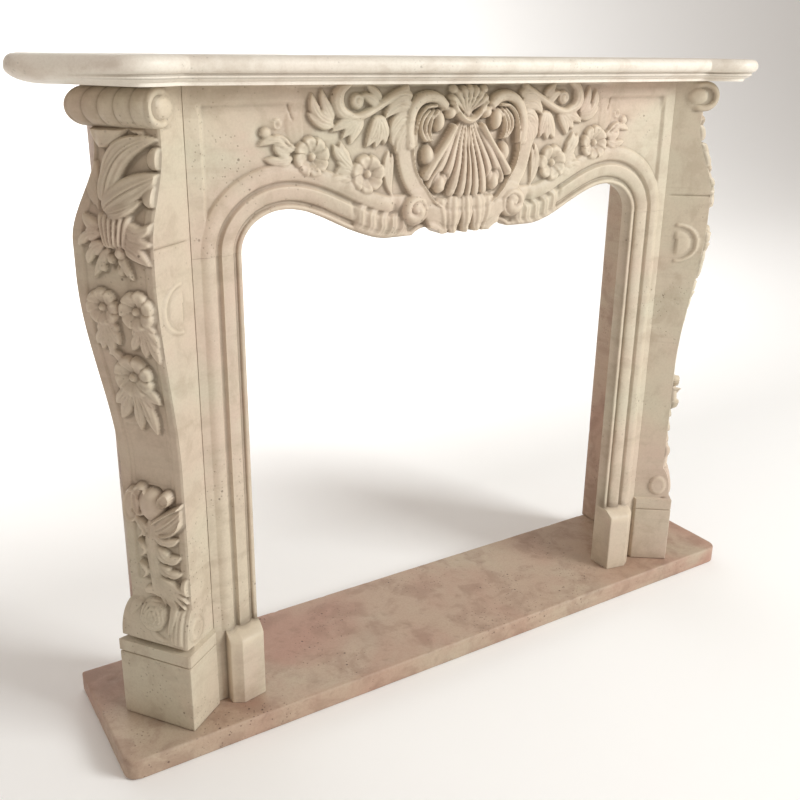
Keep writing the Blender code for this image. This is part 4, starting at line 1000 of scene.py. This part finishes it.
def shelf_levels():
    """Heights up the shelf's edge, each with how far it is set back from the nosing."""
    fillet = SHELF_HIGH.z - SHELF_UNDERSIDE - NOSING_HEIGHT - STEP_HEIGHT - BAND_HEIGHT
    deepest = STEP_SET_BACK + BAND_SET_BACK + 0.003
    levels = [(SHELF_UNDERSIDE + fillet * share, deepest) for share in (0.0, 0.08, 0.25, 0.5, 0.8)]
    z = SHELF_UNDERSIDE + fillet
    for share in np.linspace(0.0, 1.0, 9):
        set_back = STEP_SET_BACK + BAND_SET_BACK * (1 - math.sin(math.pi / 2 * share))
        levels.append((z + BAND_HEIGHT * share, set_back))
    z += BAND_HEIGHT
    levels += [(z + 0.0006, STEP_SET_BACK + 0.002), (z + STEP_HEIGHT, STEP_SET_BACK + 0.002)]
    radius = NOSING_HEIGHT / 2
    for angle in np.linspace(-math.pi / 2, math.pi / 2, 17):
        levels.append((SHELF_HIGH.z - radius + radius * math.sin(angle), radius - radius * math.cos(angle)))
    return levels


def end_inset(z):
    """How far the soft ends are set back from their widest line at each height."""
    widest = SHELF_UNDERSIDE + SHELF_END_MIDDLE
    if z < widest:
        fall, rise = SHELF_END_SET_BACK, (widest - z) / SHELF_END_MIDDLE
    else:
        fall, rise = SHELF_END_EDGE, (z - widest) / (SHELF_HIGH.z - widest)
    return fall * (1 - math.sqrt(max(0.0, 1 - rise ** 2)))


def shelf_stone():
    half = shelf_front()
    whole = np.vstack([half[:0:-1] * (-1, 1), half])
    x, y = whole[:, 0], WALL - whole[:, 1]
    dx, dy = np.gradient(x), np.gradient(y)
    length = np.hypot(dx, dy)
    share = smooth_step(np.abs(x), SHELF_EAR_X - SHELF_CORNER_ROUNDING, SHELF_TIP_X - 0.030)
    inner_x, inner_y = np.copysign(SHELF_EAR_START, x) - x, WALL - SHELF_TIP_DEPTH / 2 - y
    reach = np.hypot(inner_x, inner_y)
    normal_x = (1 - share) * -dy / length + share * inner_x / reach
    normal_y = (1 - share) * dx / length + share * inner_y / reach
    length = np.hypot(normal_x, normal_y)
    rings = []
    hollow = []
    for z, inset in shelf_levels():
        height = np.full(x.shape, z)
        step = (1 - share) * inset + share * end_inset(z) + np.abs(hand_work(x, height, PLAIN_MARKS))
        ring_y = np.minimum(y + step * normal_y / length, WALL)
        ring = np.stack([x + step * normal_x / length, ring_y, height], axis=1)
        ring[0, 1] = ring[-1, 1] = WALL
        rings.append(ring)
        # Painted shade: a darker line where the band meets the step under the nosing, fading out towards the
        # ends.
        hollow.append((0.6 if STEP_SET_BACK + 0.001 < inset < STEP_SET_BACK + 0.003 else 0.0) * (1 - share))
    return from_rings("shelf_stone", rings, hollow=hollow)


# Node trees, for the wear and for the finish of the stones
class Value:
    """An output of a node. Sums and products of it add Math nodes."""

    def __init__(self, maker, socket):
        self.maker, self.socket = maker, socket

    def other(self, name):
        """Another output of the same node."""
        return Value(self.maker, self.socket.node.outputs[name])

    def _math(self, operation, first, second, clamp=False):
        settings = {"operation": operation, "use_clamp": clamp}
        return self.maker.node("ShaderNodeMath", settings, {0: first, 1: second})

    def __add__(self, other):
        return self._math("ADD", self, other)

    __radd__ = __add__

    def __sub__(self, other):
        return self._math("SUBTRACT", self, other)

    def __rsub__(self, other):
        return self._math("SUBTRACT", other, self)

    def __mul__(self, other):
        return self._math("MULTIPLY", self, other)

    __rmul__ = __mul__

    def __truediv__(self, other):
        return self._math("DIVIDE", self, other)

    def clamped(self):
        return self._math("ADD", self, 0.0, True)

    def ramp(self, low, high):
        """0 below low, 1 above high, and smooth between."""
        inputs = {"Value": self, "From Min": low, "From Max": high}
        return self.maker.node("ShaderNodeMapRange", {"interpolation_type": "SMOOTHSTEP"}, inputs)


class NodeMaker:
    """Adds the nodes of one tree. Every node comes from node()."""

    def __init__(self, tree):
        self.tree = tree

    def node(self, kind, settings=None, inputs=None, output=0):
        node = self.tree.nodes.new(kind)
        for key, value in (settings or {}).items():
            setattr(node, key, value)
        for key, value in (inputs or {}).items():
            if isinstance(value, Value):
                self.tree.links.new(value.socket, node.inputs[key])
            else:
                node.inputs[key].default_value = value
        return Value(self, node.outputs[output]) if len(node.outputs) else node


def wear_tree():
    """Waves the faces a little inwards, sinks small pits at scattered points and stores them as hollows,
    which the finish darkens with painted shade.
    """
    tree = bpy.data.node_groups.new("worn_stone", "GeometryNodeTree")

    def socket(name, kind, way="INPUT", value=None):
        added = tree.interface.new_socket(name, in_out=way, socket_type="NodeSocket" + kind)
        if value is not None:
            added.default_value = value

    socket("Geometry", "Geometry")
    for name, value in (("Unevenness", 0.0004), ("Wave size", 14.0), ("Pits per area", 900.0),
                        ("Pit radius", 0.003), ("Pit depth", 0.0016)):
        socket(name, "Float", value=value)
    socket("Seed", "Int", value=3)
    socket("Finish", "Material")
    socket("Geometry", "Geometry", "OUTPUT")
    stone = NodeMaker(tree)
    start = stone.node("NodeGroupInput")
    noise = stone.node("ShaderNodeTexNoise", {"noise_dimensions": "3D"},
                       {"Scale": start.other("Wave size"), "Detail": 3.0})
    inputs = {"Mesh": start, "Density": start.other("Pits per area"), "Seed": start.other("Seed")}
    scatter = stone.node("GeometryNodeDistributePointsOnFaces", None, inputs)
    near = stone.node("GeometryNodeProximity", {"target_element": "POINTS"}, {0: scatter}, "Distance")
    bowl = (1.0 - near / start.other("Pit radius")).clamped()
    depth = noise * start.other("Unevenness") + bowl * start.other("Pit depth")
    normal = stone.node("GeometryNodeInputNormal", None, None, "Normal")
    offset = stone.node("ShaderNodeVectorMath", {"operation": "SCALE"}, {0: normal, "Scale": depth * -1.0})
    moved = stone.node("GeometryNodeSetPosition", None, {"Geometry": start, "Offset": offset})
    # Painted shade: the pits are stored as hollows, which the finish darkens.
    marked = stone.node("GeometryNodeStoreNamedAttribute", {"data_type": "FLOAT", "domain": "POINT"},
                        {"Geometry": moved, "Name": "hollow", "Value": bowl})
    whole = stone.node("GeometryNodeRealizeInstances", None, {"Geometry": marked})
    inputs = {"Geometry": whole, "Material": start.other("Finish")}
    finish = stone.node("GeometryNodeSetMaterial", None, inputs)
    stone.node("NodeGroupOutput", None, {"Geometry": finish})
    return tree


def worn_and_shaded(piece, tree, finish, **sizes):
    """The block after its wear, with its pits marked for painted shade, as a plain mesh."""
    modifier = piece.modifiers.new("wear", "NODES")
    modifier.node_group = tree
    inputs = {item.name: item.identifier for item in tree.interface.items_tree if item.in_out == "INPUT"}
    modifier[inputs["Finish"]] = finish
    for name, value in sizes.items():
        modifier[inputs[name.replace("_", " ").capitalize()]] = value
    bpy.context.view_layer.update()
    shown = piece.evaluated_get(bpy.context.evaluated_depsgraph_get())
    plain = bpy.data.meshes.new_from_object(shown)
    piece.modifiers.remove(modifier)
    piece.data = plain
    return piece


class Finish(NodeMaker):
    """One stone's material."""

    def __init__(self, name):
        self.material = bpy.data.materials.new(name)
        self.material.use_nodes = True
        super().__init__(self.material.node_tree)
        self.tree.nodes.clear()
        self.place = self.node("ShaderNodeTexCoord", None, None, "Object")

    def stretched(self, scale, turn=(0.0, 0.0, 0.0)):
        return self.node("ShaderNodeMapping", None, {"Vector": self.place, "Scale": scale, "Rotation": turn})

    def noise(self, scale, detail=4.0, roughness=0.5, distortion=0.0, place=None):
        inputs = {"Vector": place or self.place, "Scale": scale, "Detail": detail, "Roughness": roughness,
                  "Distortion": distortion}
        return self.node("ShaderNodeTexNoise", None, inputs)

    def cells(self, scale):
        return self.node("ShaderNodeTexVoronoi", None, {"Vector": self.place, "Scale": scale}, "Distance")

    def mix(self, share, first, second):
        second = second if isinstance(second, Value) else (*second, 1.0)
        first = first if isinstance(first, Value) else (*first, 1.0)
        return self.node("ShaderNodeMix", {"data_type": "RGBA", "clamp_factor": True},
                         {0: share, 6: first, 7: second}, 2)


def stone_finish(name, body, warm, cool, dark, roughness, pits, blotch):
    """Honed limestone: broad warm and cool clouds, fine mottling, faint bedding and small dark pits, with
    painted shade in the crevices and a painted highlight on the proud edges.
    """
    stone = Finish(name)
    clouds = stone.noise(2.3, 5.0, 0.55, 0.8).ramp(0.40, 0.66)
    tilted = stone.stretched((1.0, 1.0, 1.6), (0.3, 0.2, 0.7))
    shade = stone.noise(4.1, 4.0, 0.5, 0.6, tilted).ramp(0.42, 0.70)
    mottling = stone.noise(19.0, 6.0, 0.62, 0.4)
    bedding = stone.noise(7.0, 5.0, 0.6, 0.2, stone.stretched((0.7, 0.7, 6.0), (0.05, 0.08, 0.0)))
    grain = stone.noise(260.0, 3.0, 0.7)
    # Painted shade darkens the crevices towards deep; a painted highlight, partly rubbed wear, lightens the
    # proud edges towards light.
    hollow = stone.node("ShaderNodeAttribute", {"attribute_name": "hollow"}, None, "Fac")
    crevice = hollow.ramp(0.02, 0.85)
    proud = (hollow * -1.0).ramp(0.04, 0.70)
    small = 1.0 - stone.cells(120.0).ramp(0.10, 0.22)
    large = 1.0 - stone.cells(46.0).ramp(0.05, 0.13)
    patchy = stone.noise(9.0, 3.0).ramp(0.50, 0.62)
    pitted = ((small * 0.55 + large * 0.9) * patchy * pits).clamped()
    deep = tuple(0.45 * c for c in dark)
    light = tuple(min(1.0, 1.22 * c) for c in body)
    colour = body
    # The crevice share is painted shade and the proud share a painted highlight, partly wear.
    for share, tint in ((clouds * blotch, warm), (shade * blotch, cool),
                        (mottling.ramp(0.46, 0.66) * 0.38, dark), (bedding.ramp(0.52, 0.70) * 0.22, dark),
                        (grain.ramp(0.40, 0.66) * 0.16, dark), (crevice * 0.52, deep),
                        (proud * 0.42, light), (pitted * 0.75, deep)):
        colour = stone.mix(share, colour, tint)
    relief = grain * 0.30 + mottling * 0.35 - pitted * 1.6
    bump = stone.node("ShaderNodeBump", None, {"Strength": 0.55, "Distance": 0.0011, "Height": relief})
    shader = stone.node("ShaderNodeBsdfPrincipled", None,
                        {"Base Color": colour, "Roughness": roughness + 0.16 * mottling + 0.10 * crevice,
                         "Normal": bump, "Specular IOR Level": 0.35})
    stone.node("ShaderNodeOutputMaterial", None, {"Surface": shader})
    return stone.material


# Stage
def plain_finish(name, colour):
    material = bpy.data.materials.new(name)
    material.use_nodes = True
    shader = material.node_tree.nodes["Principled BSDF"]
    shader.inputs["Base Color"].default_value = (*colour, 1.0)
    shader.inputs["Roughness"].default_value = 0.9
    return material


def pale_floor():
    """A floor that curves up into a backdrop far behind."""
    near, far, bend, height, half = -14.0, 6.0, 3.0, 12.0, 24.0
    profile = [(near, 0.0), (far - bend, 0.0)]
    for i in range(1, 13):
        angle = math.pi / 2 * i / 12
        profile.append((far - bend + bend * math.sin(angle), bend - bend * math.cos(angle)))
    profile.append((far, height))
    vertices = [(x, y, z) for y, z in profile for x in (-half, half)]
    faces = [(2 * i, 2 * i + 1, 2 * i + 3, 2 * i + 2) for i in range(len(profile) - 1)]
    mesh = bpy.data.meshes.new("pale_floor")
    mesh.from_pydata(vertices, [], faces)
    mesh.materials.append(plain_finish("floor_paint", FLOOR_COLOUR))
    mesh.shade_smooth()
    placed("pale_floor", mesh)


def soft_light(name, place, target, size, power, colour):
    lamp = bpy.data.lights.new(name, "AREA")
    lamp.size = size
    lamp.energy = power
    lamp.color = colour
    holder = placed(name, lamp)
    holder.location = place
    holder.rotation_euler = (Vector(target) - Vector(place)).to_track_quat("-Z", "Y").to_euler()


def photo_camera():
    """The camera where the photograph was taken from."""
    lens = bpy.data.cameras.new("photo_camera")
    lens.sensor_width = 36.0
    lens.lens = LENS_LENGTH
    lens.shift_x, lens.shift_y = LENS_SHIFT
    camera = placed("photo_camera", lens)
    turn = Matrix([CAMERA_RIGHT, CAMERA_UP, CAMERA_BACK]).transposed()
    camera.matrix_world = Matrix.Translation(CAMERA_PLACE) @ turn.to_4x4()
    bpy.context.scene.camera = camera


def studio():
    pale_floor()
    middle = (0.0, 0.0, 0.6)
    soft_light("key_from_right", (2.6, -3.4, 2.7), middle, size=2.0, power=196.0, colour=(0.97, 1.0, 1.0))
    soft_light("fill_from_left", (-3.2, -2.2, 1.6), middle, size=2.6, power=9.0, colour=(1.0, 0.78, 0.66))
    soft_light("backdrop_wash", (0.0, 2.2, 3.4), (0.0, 6.0, 1.5), size=4.0, power=260.0,
               colour=(1.0, 1.0, 1.0))
    world = bpy.data.worlds.new("studio_air")
    world.use_nodes = True
    background = world.node_tree.nodes["Background"]
    background.inputs["Color"].default_value = (*AIR_COLOUR, 1.0)
    background.inputs["Strength"].default_value = AIR_STRENGTH
    bpy.context.scene.world = world
    bpy.context.scene.view_settings.view_transform = "Standard"


def set_piece(piece, finish, slot, *nodes):
    if finish.name not in piece.data.materials:
        piece.data.materials.append(finish)
    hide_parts(*nodes)
    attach(piece, "root")


def main():
    cream = stone_finish("cream_limestone", body=(0.57, 0.49, 0.375), warm=(0.56, 0.42, 0.34),
                         cool=(0.53, 0.49, 0.375), dark=(0.36, 0.28, 0.20),
                         roughness=0.42, pits=1.0, blotch=0.75)
    pale = stone_finish("pale_limestone", body=(0.76, 0.71, 0.62), warm=(0.73, 0.63, 0.55),
                        cool=(0.74, 0.70, 0.60), dark=(0.52, 0.43, 0.34),
                        roughness=0.38, pits=0.6, blotch=0.5)
    rosy = stone_finish("rosy_limestone", body=(0.46, 0.34, 0.25), warm=(0.42, 0.24, 0.18),
                        cool=(0.47, 0.39, 0.29), dark=(0.24, 0.14, 0.10),
                        roughness=0.42, pits=1.5, blotch=0.85)
    wear = wear_tree()
    set_piece(carved_frieze(), cream, "cream_stone", "frieze")
    for side, word in ((-1, "left"), (1, "right")):
        set_piece(carved_leg(side, word), cream, "cream_stone", word + "_leg")
        set_piece(moulded_jamb(side, word), cream, "cream_stone", word + "_jamb")
        plinth = worn_and_shaded(leg_plinth(side, word), wear, cream, seed=5 + side)
        set_piece(plinth, cream, "cream_stone", word + "_leg_plinth")
        slab = worn_and_shaded(return_slab(side, word), wear, rosy, seed=11 + side)
        set_piece(slab, rosy, "rosy_stone", word + "_return")
    hearth = worn_and_shaded(hearth_stone(), wear, rosy, seed=21, pits_per_area=2600.0, unevenness=0.0009)
    set_piece(hearth, rosy, "rosy_stone", "hearth_slab")
    set_piece(shelf_stone(), pale, "pale_stone", "mantel_shelf")
    studio()
    photo_camera()


main()
